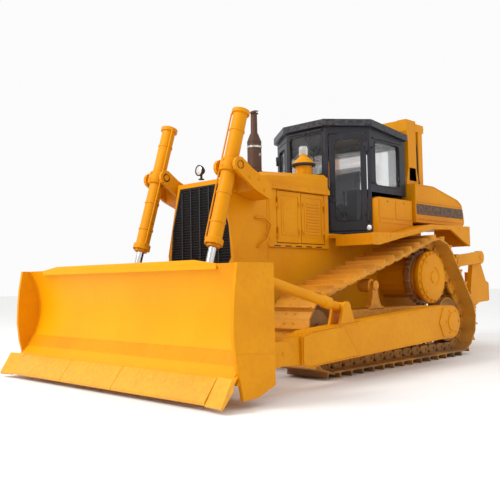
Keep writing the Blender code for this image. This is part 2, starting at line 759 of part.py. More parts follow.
def build_engine_doors():
    half = HOOD_HALF_WIDTH
    for name, side, hinge_x, far_x in engine_door_hinges():
        y0, y1 = span(side, half - DOOR_THICKNESS, half)
        door = box(min(hinge_x, far_x), max(hinge_x, far_x), y0, y1, DOOR_BOTTOM_Z, DOOR_TOP_Z)
        y0, y1 = span(side, half - 0.006, half + 0.01)
        inset = 0.05
        door = cut(door, box(min(hinge_x, far_x) + inset, max(hinge_x, far_x) - inset, y0, y1,
                             DOOR_BOTTOM_Z + inset, DOOR_TOP_Z - inset))
        inwards = math.copysign(1, far_x - hinge_x)
        parts = []
        for z in HINGE_LEVELS:
            parts += knuckle(hinge_x, side * (half + HINGE_OUT), z,
                             (hinge_x + inwards * 0.03, side * (half - 0.004)), True)
        place(fused(door, *parts), name, paint_yellow(), (hinge_x, side * (half + HINGE_OUT), 0))


# ---- things on the hood ---------------------------------------------------------------
EXHAUST_X = 2.40
EXHAUST_Y = 0.25
EXHAUST_TOP_Z = 3.10
CLEANER_X = 1.50
CLEANER_Y = 0.25


def build_hood_fittings():
    base = hood_top(EXHAUST_X - 0.095) + SEAT
    up = (0, 0, 1)
    pipe_top = EXHAUST_TOP_Z - 0.07 - base
    stack = turned([(0, 0), (0.095, 0), (0.095, 0.02), (0.085, 0.03), (0.085, 0.38), (0.05, 0.46),
                    (0.04, 0.47),
                    (0.04, pipe_top), (0, pipe_top)], (EXHAUST_X, EXHAUST_Y, base), up, 20)
    lid = turned([(0, 0), (0.062, 0), (0.062, 0.012), (0, 0.03)],
                 (EXHAUST_X, EXHAUST_Y, base + pipe_top - 0.004), (0.35, 0, 1), 20)
    place(fused(stack, lid), "exhaust_stack", black(), (EXHAUST_X, EXHAUST_Y, base))
    base = hood_top(CLEANER_X - 0.11) + SEAT
    cleaner = turned([(0, 0), (0.11, 0), (0.11, 0.12), (0.15, 0.125), (0.155, 0.15), (0.07, 0.235),
                      (0.05, 0.24),
                      (0.05, 0.36), (0.03, 0.38), (0, 0.38)], (CLEANER_X, CLEANER_Y, base), up, 24)
    place(cleaner, "air_precleaner", paint_yellow(), (CLEANER_X, CLEANER_Y, base))


# ---- fenders and side boxes -----------------------------------------------------------
FENDER_OUTER_Y = 1.15
FENDER_REAR_X = -1.13
FENDER_FRONT_X = HOOD_REAR_X - 0.005
FENDER_TOP = ((FENDER_FRONT_X, 1.60), (0.62, 1.62), (-0.02, 1.76), (FENDER_REAR_X, 1.78))
BOX_TOP_Z = 2.10
BOX_REAR_X = -0.04
BOX_FRONT_X = 0.79
BOX_OUTER_Y = 0.88
TUB_HALF_WIDTH = 0.47


def fender_top(x):
    for (x1, z1), (x0, z0) in zip(FENDER_TOP, FENDER_TOP[1:]):
        if x0 <= x <= x1:
            return z0 + (z1 - z0) * (x - x0) / (x1 - x0)
    return FENDER_TOP[-1][1]


def build_fenders():
    for name, side in sides():
        plate = 0.035
        top = list(FENDER_TOP)
        under = [(x, z - plate) for x, z in reversed(FENDER_TOP)]
        y0, y1 = span(side, FRAME_HALF_WIDTH + SEAT, FENDER_OUTER_Y - 0.01)
        sheet = side_plate(top + under, y0, y1)
        y0, y1 = span(side, FENDER_OUTER_Y - plate, FENDER_OUTER_Y)
        rim = [(FENDER_FRONT_X + 0.002, 1.602), (0.62, 1.622), (-0.02, 1.762), (FENDER_REAR_X - 0.002, 1.782)]
        skirt = side_plate(rim + [(FENDER_REAR_X - 0.002, 1.50), (-0.91, 1.58), (-0.58, 1.72), (-0.11, 1.70),
                                  (0.74, 1.55), (1.19, 1.46), (FENDER_FRONT_X + 0.002, 1.46)], y0, y1)
        y0, y1 = span(side, 0.60, FENDER_OUTER_Y - 0.02)
        tail = box(FENDER_REAR_X + 0.001, FENDER_REAR_X + plate, y0, y1, 1.502, 1.77)
        nose = box(FENDER_FRONT_X - plate, FENDER_FRONT_X - 0.001, y0, y1, 1.462, 1.59)
        place(fused(sheet, skirt, tail, nose), "fender_" + name, paint_yellow())


def build_side_boxes():
    for name, side in (("battery_box", 1), ("hydraulic_tank", -1)):
        y0, y1 = span(side, TUB_HALF_WIDTH + 0.02, BOX_OUTER_Y)
        foot = [(x, fender_top(x) + SEAT) for x in (BOX_REAR_X, -0.02, 0.62, BOX_FRONT_X)]
        body = side_plate(foot + [(BOX_FRONT_X, BOX_TOP_Z - 0.02), (BOX_FRONT_X - 0.02, BOX_TOP_Z),
                                  (BOX_REAR_X, BOX_TOP_Z)], y0, y1)
        place(body, name, paint_yellow())


# ---- cab ------------------------------------------------------------------------------
CAB_REAR_X = -0.02
CAB_HALF_WIDTH = 0.79
CAB_NOSE_HALF_WIDTH = 0.33
PILLAR_X = 0.82
CAB_WALL = 0.04
CAB_FLOOR = 0.04
WAIST_Z = 2.17
ROOF_REAR_Z = 2.92
ROOF_SLOPE = 0.10
ROOF_THICKNESS = 0.09
GLASS_THICKNESS = 0.006
SIDE_WINDOW = (0.13, 0.70, 2.27, 2.83)
REAR_WINDOW = (-0.55, 0.55, 2.27, 2.83)
WINDSHIELD = (-0.27, 0.27, 2.43, 2.96)
DOOR_SILL_Z = 1.675
DOOR_HEAD_Z = 2.93
PANE_IN = (0.075, 0.075)


def cab_outline(inset, half_width, rear_x):
    """The cab's plan: a narrow nose, two slanting door planes and straight sides."""
    front = CAB_FRONT_X - inset
    slant = Vector((CAB_FRONT_X - PILLAR_X, CAB_NOSE_HALF_WIDTH - CAB_HALF_WIDTH)).normalized()
    normal = Vector((-slant.y, slant.x))
    base = Vector((PILLAR_X, CAB_HALF_WIDTH)) - normal * inset
    nose_y = base.y + slant.y * (front - base.x) / slant.x
    side_y = CAB_HALF_WIDTH - inset
    side_x = base.x + slant.x * (side_y - base.y) / slant.y
    left = [(front, nose_y), (side_x, side_y)]
    if half_width < CAB_HALF_WIDTH:
        # Behind the doors the lower cab steps in to leave room for the side boxes.
        step_x = BOX_FRONT_X + 0.012 + inset
        if step_x > side_x:
            left = [left[0], (step_x, base.y + slant.y * (step_x - base.x) / slant.x)]
        else:
            left.append((step_x, side_y))
        left.append((step_x, half_width - inset))
    left.append((rear_x + inset, half_width - inset))
    return left + [(x, -y) for x, y in reversed(left)]


def door_frame(side):
    """Local axes of a door plane: u runs forward from the rear hinge, w points out."""
    along = Vector((CAB_FRONT_X - PILLAR_X, side * (CAB_NOSE_HALF_WIDTH - CAB_HALF_WIDTH), 0)).normalized()
    out = Vector((along.y * -side, along.x * side, 0))
    return Vector((PILLAR_X, side * CAB_HALF_WIDTH, 0)), along, out


def door_plane(side, outline, w0, w1):
    """An outline in u and z on the door's plane, from depth w0 to w1."""
    corner, along, out = door_frame(side)
    corners = [corner + along * u + out * w0 + Vector((0, 0, z)) for u, z in outline]
    return extruded(corners, out * (w1 - w0))


DOOR_WIDTH = math.hypot(CAB_FRONT_X - PILLAR_X, CAB_HALF_WIDTH - CAB_NOSE_HALF_WIDTH)
DOOR_U0 = 0.045
DOOR_U1 = DOOR_WIDTH - 0.045
CAB_HINGE_LEVELS = (1.85, 2.75)


def cab_hinge_axis(side):
    corner, along, out = door_frame(side)
    spot = corner + along * (DOOR_U0 - 0.005) + out * HINGE_OUT
    return spot.x, spot.y


def strap_foot(side, u):
    corner, along, out = door_frame(side)
    spot = corner + along * u + out * -0.006
    return spot.x, spot.y


def roof_underside(x):
    return ROOF_REAR_Z + ROOF_SLOPE * (x - CAB_REAR_X)


def sloped_above(gap, height):
    """Everything above the roof's underside plus gap, as high as height."""
    x0 = CAB_REAR_X - 0.3
    x1 = CAB_FRONT_X + 0.3
    return side_plate([(x0, roof_underside(x0) + gap), (x1, roof_underside(x1) + gap),
                       (x1, roof_underside(x1) + gap + height), (x0, roof_underside(x0) + gap + height)],
                      -1.2, 1.2)


def build_cab():
    low = DECK_Z + SEAT
    top = 3.20
    tub = plan_plate(cab_outline(0, TUB_HALF_WIDTH, CAB_REAR_X), low, WAIST_Z + 0.01)
    upper = plan_plate(cab_outline(0, CAB_HALF_WIDTH, CAB_REAR_X), WAIST_Z, top)
    room = plan_plate(cab_outline(CAB_WALL, TUB_HALF_WIDTH, CAB_REAR_X), low + CAB_FLOOR, top + 0.1)
    upper_room = plan_plate(cab_outline(CAB_WALL, CAB_HALF_WIDTH, CAB_REAR_X), WAIST_Z + CAB_WALL, top + 0.1)
    shell = cut(fused(tub, upper), room, upper_room, sloped_above(0, 1.0))
    x0, x1, z0, z1 = SIDE_WINDOW
    shell = cut(shell, side_plate(rounded(x0, x1, z0, z1, 0.05), -1.2, 1.2))
    y0, y1, z0, z1 = REAR_WINDOW
    shell = cut(shell, front_plate(rounded(y0, y1, z0, z1, 0.05), CAB_REAR_X - 0.1, CAB_REAR_X + 0.1))
    y0, y1, z0, z1 = WINDSHIELD
    shell = cut(shell, front_plate(rounded(y0, y1, z0, z1, 0.03), CAB_FRONT_X - 0.1, CAB_FRONT_X + 0.1))
    hinges = []
    for side in (1, -1):
        gap = [(DOOR_U0 - RUN, DOOR_SILL_Z - RUN), (DOOR_U1 + RUN, DOOR_SILL_Z - RUN),
               (DOOR_U1 + RUN, DOOR_HEAD_Z + RUN), (DOOR_U0 - RUN, DOOR_HEAD_Z + RUN)]
        shell = cut(shell, door_plane(side, gap, -0.10, 0.10))
        axis = cab_hinge_axis(side)
        for z in CAB_HINGE_LEVELS:
            hinges += knuckle(axis[0], axis[1], z, strap_foot(side, DOOR_U0 - 0.025), False)
    place(fused(shell, *hinges), "cab_shell", paint_grey())

    over = 0.05
    eaves = plan_plate(cab_outline(-over, CAB_HALF_WIDTH, CAB_REAR_X + over - 0.01), 2.8, top + 0.2)
    roof = cut(eaves, sloped_above(-1.0, 1.0 + SEAT), sloped_above(ROOF_THICKNESS, 1.0))
    place(roof, "cab_roof", paint_grey())


def pane(x0, x1, z0, z1, radius):
    return rounded(x0 + SEAT, x1 - SEAT, z0 + SEAT, z1 - SEAT, radius)


def build_glass():
    inset = CAB_WALL / 2
    for name, side in sides():
        y0, y1 = span(side, CAB_HALF_WIDTH - inset - GLASS_THICKNESS, CAB_HALF_WIDTH - inset)
        place(side_plate(pane(*SIDE_WINDOW, 0.05), y0, y1), "side_glass_" + name, glass())
    x = CAB_REAR_X + inset
    place(front_plate(pane(*REAR_WINDOW, 0.05), x, x + GLASS_THICKNESS), "rear_glass", glass())
    x = CAB_FRONT_X - inset
    place(front_plate(pane(*WINDSHIELD, 0.03), x - GLASS_THICKNESS, x), "windshield", glass())


def build_cab_doors():
    for name, side in sides():
        rim_u, rim_z = PANE_IN
        window = (DOOR_U0 + rim_u, DOOR_U1 - rim_u, DOOR_SILL_Z + 0.13, DOOR_HEAD_Z - rim_z)
        leaf = door_plane(side, [(DOOR_U0, DOOR_SILL_Z), (DOOR_U1, DOOR_SILL_Z), (DOOR_U1, DOOR_HEAD_Z),
                                 (DOOR_U0, DOOR_HEAD_Z)], -CAB_WALL, 0.0)
        leaf = cut(leaf, door_plane(side, rounded(*window, 0.05), -0.10, 0.10))
        axis = cab_hinge_axis(side)
        parts = []
        for z in CAB_HINGE_LEVELS:
            parts += knuckle(axis[0], axis[1], z, strap_foot(side, DOOR_U0 + 0.03), True)
        place(fused(leaf, *parts), "cab_door_" + name, paint_grey(), (axis[0], axis[1], 0))
        glazing = door_plane(side, pane(*window, 0.05), -CAB_WALL / 2 - GLASS_THICKNESS, -CAB_WALL / 2)
        place(glazing, "door_glass_" + name, glass(), (axis[0], axis[1], 0))


def build_cab_inside():
    floor = DECK_Z + SEAT + CAB_FLOOR + SEAT
    base = box(0.30, 0.66, -0.19, 0.19, floor, 1.99)
    cushion = side_plate([(0.24, 1.98), (0.74, 1.98), (0.77, 2.03), (0.74, 2.10), (0.26, 2.09)], -0.25, 0.25)
    back = side_plate([(0.22, 2.02), (0.34, 2.02), (0.25, 2.64), (0.19, 2.68), (0.13, 2.64)], -0.24, 0.24)
    place(fused(base, cushion, back), "operator_seat", material("seat_cloth", CLOTH, 0.9))
    dash = side_plate([(0.93, floor), (CAB_FRONT_X - CAB_WALL - 0.03, floor),
                       (CAB_FRONT_X - CAB_WALL - 0.03, 2.30),
                       (0.98, 2.34), (0.88, 2.22)], -0.22, 0.22)
    place(dash, "control_console", black())


# ---- roll-over frame and fuel tank ----------------------------------------------------
ROPS_X0 = -0.33
ROPS_X1 = -0.08
ROPS_Y0 = 0.66
ROPS_Y1 = 0.80
ROPS_FOOT_Z = 2.34
ROPS_BEAM_Z0 = 3.09
ROPS_TOP_Z = 3.25
ROPS_REAR_X = -0.54
TANK_HALF_WIDTH = 0.92
TANK_FRONT_X = -0.06
TANK_REAR_X = -1.43


def build_rops():
    parts = [box(ROPS_X0, ROPS_X1, -ROPS_Y1 + 0.01, ROPS_Y1 - 0.01, ROPS_BEAM_Z0, ROPS_TOP_Z - 0.002)]
    for side in (1, -1):
        y0, y1 = span(side, ROPS_Y0, ROPS_Y1)
        foot = ROPS_FOOT_Z + SEAT
        parts.append(side_plate([(ROPS_X0 - 0.03, foot), (ROPS_X1 + 0.03, foot),
                                 (ROPS_X1 + 0.03, foot + 0.05),
                                 (ROPS_X1 - 0.02, foot + 0.22), (ROPS_X1 - 0.02, ROPS_BEAM_Z0 - 0.08),
                                 (ROPS_X1 + 0.02, ROPS_BEAM_Z0), (ROPS_X1 + 0.02, ROPS_TOP_Z),
                                 (ROPS_X0 + 0.02, ROPS_TOP_Z), (ROPS_X0 + 0.02, foot + 0.22),
                                 (ROPS_X0 - 0.03, foot + 0.05)], y0, y1))
        # Rear leg and the shoulder that joins it to the post.
        y0, y1 = span(side, ROPS_Y0 + 0.01, ROPS_Y1 - 0.01)
        parts.append(box(ROPS_REAR_X, ROPS_X0 + 0.05, y0, y1, ROPS_BEAM_Z0 + 0.02, ROPS_TOP_Z - 0.03))
        parts.append(box(-0.50, -0.39, y0 + 0.002, y1 - 0.002, tank_top(-0.39) + SEAT, ROPS_BEAM_Z0 + 0.04))
    place(fused(*parts), "rops_frame", paint_yellow())


def tank_top(x):
    flat_end = -0.55
    if x >= flat_end:
        return ROPS_FOOT_Z
    return ROPS_FOOT_Z + (2.20 - ROPS_FOOT_Z) * (x - flat_end) / (-1.25 - flat_end)


def build_fuel_tank():
    outline = [(TANK_FRONT_X, 1.81), (TANK_FRONT_X, ROPS_FOOT_Z), (-0.55, ROPS_FOOT_Z), (-1.25, 2.20),
               (-1.36, 2.14), (-1.42, 1.98), (TANK_REAR_X, 1.85), (-1.39, 1.81)]
    tank = side_plate(outline, -TANK_HALF_WIDTH, TANK_HALF_WIDTH)
    saddle = box(-0.99, -0.10, -0.44, 0.44, DECK_Z + SEAT, 1.85)
    place(fused(tank, saddle), "fuel_tank", paint_yellow())


# ---- blade and push arms --------------------------------------------------------------
SKIN = 0.028
DEEPEST_X = 4.03
DEEPEST_Z = 0.74
TOP_LIP_X = 4.17
END_PLATE = 0.04
CROWN = 0.04
BRACE_FOOT_X = 2.45
BRACE_FOOT_Z = 0.76
BRACE_HEAD_X = 3.76
BRACE_HEAD_Z = 1.10
LUG_X = 3.71
LUG_Z = 0.40
EYE_HALF = 0.07
EAR_GAP = 0.10


def edge_direction():
    return Vector((EDGE_TIP_X - BLADE_EDGE_X, EDGE_TIP_Z - BLADE_EDGE_Z)).normalized()


def moldboard_front():
    """The concave front face, from the lower lip up to the top lip."""
    back = edge_direction() * -0.05
    low = (BLADE_EDGE_X - 0.02, BLADE_EDGE_Z)
    return [(low[0] - back[0] * 1.2, low[1] - back[1] * 1.2)] + arc_through(
        low, (DEEPEST_X, DEEPEST_Z), (TOP_LIP_X, BLADE_TOP_Z), 9)


def build_blade():
    front = moldboard_front()
    back = [(x - SKIN, z) for x, z in reversed(front)]
    inside = BLADE_HALF_WIDTH - END_PLATE / 2
    parts = [side_plate(front + back, -inside, inside)]
    # Crown: the middle of the top edge stands a little higher.
    lip_x, lip_z = front[-1]
    crown = [(lip_z - 0.05, 1.45), (lip_z + 0.001, 1.45), (lip_z + CROWN, 1.15)]
    outline = [(-y, z) for z, y in crown] + [(y, z) for z, y in reversed(crown)]
    parts.append(front_plate(outline, lip_x - SKIN + 0.004, lip_x - 0.003))
    end_outline = [(BLADE_BACK_X, 0.16), (4.02, 0.08), (4.20, 0.07), (4.24, 0.25), (4.28, 0.40),
                   (4.305, 0.60),
                   (4.30, 0.80), (4.285, 0.98), (4.25, BLADE_TOP_Z), (BLADE_BACK_X, BLADE_TOP_Z)]
    for side in (1, -1):
        y0, y1 = span(side, BLADE_HALF_WIDTH - END_PLATE, BLADE_HALF_WIDTH)
        parts.append(side_plate(end_outline, y0, y1))
    # Box beams and ribs across the back.
    parts.append(side_plate([(BLADE_BACK_X + 0.02, 0.20), (4.26, 0.20), (4.20, 0.32), (4.12, 0.46),
                             (BLADE_BACK_X + 0.02, 0.46)], -inside, inside))
    parts.append(side_plate([(BLADE_BACK_X + 0.06, 0.96), (4.05, 0.96), (4.10, 1.14),
                             (BLADE_BACK_X + 0.10, 1.14)],
                            -inside, inside))
    for y in (0.0, 0.95, -0.95):
        parts.append(side_plate([(BLADE_BACK_X + 0.05, 0.44), (4.10, 0.44), (4.02, 0.74), (4.04, 0.98),
                                 (BLADE_BACK_X + 0.09, 0.98)], y - 0.02, y + 0.02))
    for side in (1, -1):
        middle = side * ARM_Y
        # Two ears take each push arm's ball, and two more take the brace or the tilt cylinder.
        for inner, outer in ((EAR_GAP, EAR_GAP + 0.035), (-EAR_GAP - 0.035, -EAR_GAP)):
            low_ear = arc((ARM_BALL_X, ARM_BALL_Z), 0.11, 80, 280, 5)
            low_ear += [(BLADE_BACK_X + 0.05, 0.22), (BLADE_BACK_X + 0.05, 0.52)]
            parts.append(side_plate(low_ear, middle + inner, middle + outer))
        for inner, outer in ((0.065, 0.095), (-0.095, -0.065)):
            high_ear = arc((BRACE_HEAD_X, BRACE_HEAD_Z), 0.07, 90, 270, 4)
            high_ear += [(BLADE_BACK_X + 0.16, 0.97), (BLADE_BACK_X + 0.16, 1.13)]
            parts.append(side_plate(high_ear, middle + inner, middle + outer))
        rib = [(BLADE_BACK_X + 0.05, 0.44), (4.10, 0.44), (4.02, 0.74), (4.04, 0.98),
               (BLADE_BACK_X + 0.09, 0.98)]
        parts.append(side_plate(rib, middle - 0.105, middle + 0.105))
        half_pin = EAR_GAP + 0.02
        if side > 0:
            parts.append(rod((ARM_BALL_X, middle - half_pin, ARM_BALL_Z),
                             (ARM_BALL_X, middle + half_pin, ARM_BALL_Z),
                             BALL_PIN_RADIUS))
        else:
            parts.append(ball_on_pin((ARM_BALL_X, middle, ARM_BALL_Z), BALL_RADIUS, half_pin,
                                     BALL_PIN_RADIUS))
        pin_half = 0.08
        parts.append(rod((BRACE_HEAD_X, middle - pin_half, BRACE_HEAD_Z),
                         (BRACE_HEAD_X, middle + pin_half, BRACE_HEAD_Z), 0.028, 16))
        # Clevis for the lift rod's eye; the pin itself is left out.
        for inner, outer in ((0.066, 0.096), (-0.096, -0.066)):
            lug = arc((LUG_X, LUG_Z), 0.065, 90, 270, 4)
            lug += [(BLADE_BACK_X + 0.05, 0.30), (BLADE_BACK_X + 0.05, 0.455)]
            parts.append(side_plate(lug, side * LIFT_Y + inner, side * LIFT_Y + outer))
    place(fused(*parts), "blade", paint_yellow(), (ARM_BALL_X, -ARM_Y, ARM_BALL_Z))


def build_cutting_edge():
    along = edge_direction()
    out = Vector((-along.y, along.x))
    thick = 0.028
    seat = Vector((BLADE_EDGE_X - 0.02, BLADE_EDGE_Z)) + out * SEAT
    top = seat + along * -0.002
    tip = seat + along * 0.262
    # Drawn in x and z: the plate lies on the moldboard's straight lower strip.
    outline = [tuple(top), tuple(tip), tuple(tip + out * thick * 0.4),
               tuple(top + out * thick + along * 0.02)]
    edge = side_plate(outline, -1.60, 1.60)
    parts = []
    for side in (-1, 1):
        inner = 1.58
        outer = BLADE_HALF_WIDTH + 0.03
        low = seat + along * 0.27
        parts.append(hull([(seat.x + out.x * 0.001, side * inner, seat.y + out.y * 0.001),
                           (seat.x + out.x * thick, side * inner, seat.y + out.y * thick),
                           (low.x, side * inner, low.y), (low.x + 0.012, side * inner, low.y + 0.012),
                           (seat.x + out.x * 0.001 + 0.06, side * outer, seat.y - 0.07),
                           (seat.x + out.x * thick + 0.06, side * outer, seat.y + 0.02),
                           (BIT_TIP_X - 0.02, side * outer, 0.035), (BIT_TIP_X, side * outer, 0.05)]))
    place(fused(edge, *parts), "cutting_edge", bare_steel(), (ARM_BALL_X, -ARM_Y, ARM_BALL_Z))


def build_push_arms():
    for name, side in sides():
        middle = side * ARM_Y
        half = ARM_WIDTH / 2
        rear = arc((TRUNNION_X, TRUNNION_Z), 0.20, 90, 270, 10)
        outline = rear + [(0.60, 0.31), (3.10, 0.22), (3.20, 0.25), (3.20, 0.52), (3.05, 0.56), (0.60, 0.71)]
        parts = [side_plate(outline, middle - half, middle + half)]
        nose = arc((ARM_BALL_X, ARM_BALL_Z), 0.125, -90, 90, 10) + [(3.12, 0.52), (3.12, 0.25)]
        parts.append(side_plate(nose, middle - EYE_HALF, middle + EYE_HALF))
        for inner, outer in ((0.052, 0.082), (-0.082, -0.052)):
            lug = arc((BRACE_FOOT_X, BRACE_FOOT_Z), 0.065, 0, 180, 6)
            lug += [(BRACE_FOOT_X - 0.13, 0.60), (BRACE_FOOT_X + 0.13, 0.56)]
            parts.append(side_plate(lug, middle + inner, middle + outer))
        if side > 0:
            parts.append(rod((BRACE_FOOT_X, middle - 0.07, BRACE_FOOT_Z),
                             (BRACE_FOOT_X, middle + 0.07, BRACE_FOOT_Z),
                             0.028, 16))
        else:
            parts.append(ball_on_pin((BRACE_FOOT_X, middle, BRACE_FOOT_Z), TILT_BALL_RADIUS, 0.07,
                                     TILT_BALL_NECK))
        arm = fused(*parts)
        if side > 0:
            arm = cut(arm, ball_socket_cutter((TRUNNION_X, middle, TRUNNION_Z), BALL_RADIUS, half + RUN),
                      rod((ARM_BALL_X, middle - half, ARM_BALL_Z), (ARM_BALL_X, middle + half, ARM_BALL_Z),
                          bore_for(BALL_PIN_RADIUS)))
        else:
            arm = cut(arm, rod((TRUNNION_X, middle - half - RUN, TRUNNION_Z),
                               (TRUNNION_X, middle + half + RUN, TRUNNION_Z),
                               bore_for(BUSH_RADIUS, BUSH_SIDES), BUSH_SIDES))
            arm = cut(arm, ball_socket_cutter((ARM_BALL_X, middle, ARM_BALL_Z), BALL_RADIUS, EYE_HALF + RUN))
        pivot = (TRUNNION_X, -ARM_Y, TRUNNION_Z) if side < 0 else (ARM_BALL_X, -ARM_Y, ARM_BALL_Z)
        place(arm, "push_arm_" + name, paint_yellow(), pivot)
    bush = ring((TRUNNION_X, -ARM_Y - ARM_WIDTH / 2 + 0.005, TRUNNION_Z),
                (TRUNNION_X, -ARM_Y + ARM_WIDTH / 2 - 0.005, TRUNNION_Z),
                bore_for(BALL_PIN_RADIUS, BUSH_SIDES), BUSH_RADIUS, BUSH_SIDES)
    place(bush, "trunnion_bush_right", bare_steel(), (TRUNNION_X, -ARM_Y, TRUNNION_Z))


def build_brace():
    foot = Vector((BRACE_FOOT_X, ARM_Y, BRACE_FOOT_Z))
    head = Vector((BRACE_HEAD_X, ARM_Y, BRACE_HEAD_Z))
    along = (head - foot).normalized()
    length = (head - foot).length
    foot_half = 0.052 - SEAT
    head_half = 0.065 - SEAT
    tube = turned([(0, 0.02), (0.038, 0.02), (0.038, 0.20), (0.062, 0.22), (0.062, 0.30), (0.050, 0.31),
                   (0.050, length - 0.16), (0.036, length - 0.13), (0.036, length - 0.02),
                   (0, length - 0.02)],
                  foot, along, 20)
    eyes = [ring(foot - Vector((0, foot_half, 0)), foot + Vector((0, foot_half, 0)), 0.020, 0.055, 16),
            ring(head - Vector((0, head_half, 0)), head + Vector((0, head_half, 0)), 0.020, 0.055, 16)]
    brace = fused(tube, *eyes)
    brace = cut(brace, rod(foot - Vector((0, 0.1, 0)), foot + Vector((0, 0.1, 0)), bore_for(0.028, 16), 16),
                rod(head - Vector((0, 0.1, 0)), head + Vector((0, 0.1, 0)), bore_for(0.028, 16), 16))
    place(brace, "brace_left", paint_yellow(), tuple(foot))


# ---- hydraulic cylinders --------------------------------------------------------------
def cylinder_body(start, direction, back, reach, radius, bore, cap):
    """A barrel from back behind start to reach beyond it, open at its gland end."""
    wall_end = -back + 0.05
    return turned([(0, -back), (radius * 0.9, -back), (cap, -back + 0.02), (cap, -back + 0.07),
                   (radius, -back + 0.08), (radius, reach - 0.10), (cap, reach - 0.09), (cap, reach - 0.01),
                   (radius * 0.95, reach), (bore, reach), (bore, wall_end), (0, wall_end)],
                  start, direction, facets(LIFT_ROD_RADIUS))


LIFT_BARREL_UP = 0.67
LIFT_BARREL_DOWN = 0.90
LIFT_RADIUS = 0.078
LIFT_CAP = 0.098
LIFT_ROD_RADIUS = 0.042
LIFT_ROD_LENGTH = 1.56


def build_lift_cylinders():
    for name, side in sides():
        yoke = Vector((YOKE_X, side * LIFT_Y, YOKE_Z))
        lug = Vector((LUG_X, side * LIFT_Y, LUG_Z))
        along = (lug - yoke).normalized()
        barrel = cylinder_body(yoke, along, LIFT_BARREL_UP, LIFT_BARREL_DOWN, LIFT_RADIUS,
                               bore_for(LIFT_ROD_RADIUS), LIFT_CAP)
        collar = ring(yoke - along * 0.06, yoke + along * 0.06, LIFT_RADIUS - 0.01, 0.108)
        reach = YOKE_EAR_OUT - 0.004
        pins = [rod(yoke + Vector((0, sign * (LIFT_RADIUS - 0.01), 0)), yoke + Vector((0, sign * reach, 0)),
                    YOKE_PIN_RADIUS) for sign in (-1, 1)]
        place(fused(barrel, collar, *pins), "lift_cylinder_" + name, paint_yellow(), tuple(yoke))
        shaft = rod(lug - along * 0.02, lug - along * LIFT_ROD_LENGTH, LIFT_ROD_RADIUS)
        eye = ring(lug - Vector((0, 0.045, 0)), lug + Vector((0, 0.045, 0)), 0.025, 0.055, 16)
        shaft = cut(shaft, rod(lug - Vector((0, 0.1, 0)), lug + Vector((0, 0.1, 0)), 0.024, 16))
        place(fused(shaft, eye), "lift_rod_" + name, chrome(), tuple(lug))


TILT_BARREL = 0.86
TILT_RADIUS = 0.062
TILT_ROD_RADIUS = 0.032


def build_tilt_cylinder():
    foot = Vector((BRACE_FOOT_X, -ARM_Y, BRACE_FOOT_Z))
    head = Vector((BRACE_HEAD_X, -ARM_Y, BRACE_HEAD_Z))
    along = (head - foot).normalized()
    barrel = turned([(0, 0.03), (0.036, 0.03), (0.036, 0.08), (TILT_RADIUS + 0.008, 0.09),
                     (TILT_RADIUS + 0.008, 0.13),
                     (TILT_RADIUS, 0.14), (TILT_RADIUS, TILT_BARREL - 0.07),
                     (TILT_RADIUS + 0.010, TILT_BARREL - 0.06),
                     (TILT_RADIUS + 0.010, TILT_BARREL - 0.01), (TILT_RADIUS, TILT_BARREL),
                     (bore_for(TILT_ROD_RADIUS), TILT_BARREL), (bore_for(TILT_ROD_RADIUS), 0.20), (0, 0.20)],
                    foot, along)
    eye = rod(foot - Vector((0, 0.036, 0)), foot + Vector((0, 0.036, 0)), 0.062)
    barrel = cut(fused(barrel, eye), ball_socket_cutter(tuple(foot), TILT_BALL_RADIUS, 0.05))
    place(barrel, "tilt_cylinder", paint_yellow(), tuple(foot))
    length = (head - foot).length
    shaft = rod(foot + along * 0.42, foot + along * (length - 0.03), TILT_ROD_RADIUS)
    ring_half = 0.045
    eye = ring(head - Vector((0, ring_half, 0)), head + Vector((0, ring_half, 0)), 0.045, 0.066, 20)
    place(fused(shaft, eye), "tilt_rod", chrome(), tuple(head))


# ---- ripper ---------------------------------------------------------------------------
LINK_PIVOT = Vector((RIPPER_PIVOT_X + RIPPER_LINK_DX, 0, RIPPER_PIVOT_Z + RIPPER_LINK_DZ))
ARM_PIVOT = Vector((RIPPER_PIVOT_X, 0, RIPPER_PIVOT_Z))
SWEEP = Vector((-RIPPER_ARM_DX, 0, RIPPER_ARM_DZ))
BEAM_HALF_WIDTH = 0.85
RIPPER_PIN = 0.045
LUG_IN = 0.50
LUG_OUT = 0.57
SHANK_Y = 0.60
HOIST_Y = 0.28
HOIST_TOP = Vector((-1.14, 0, 1.545))
HOIST_SHARE = 0.46
HOIST_BARREL = 0.50
HOIST_RADIUS = 0.052
HOIST_PIN = 0.026
HOIST_ROD_RADIUS = 0.028


def at_y(point, y):
    return Vector((point.x, y, point.z))


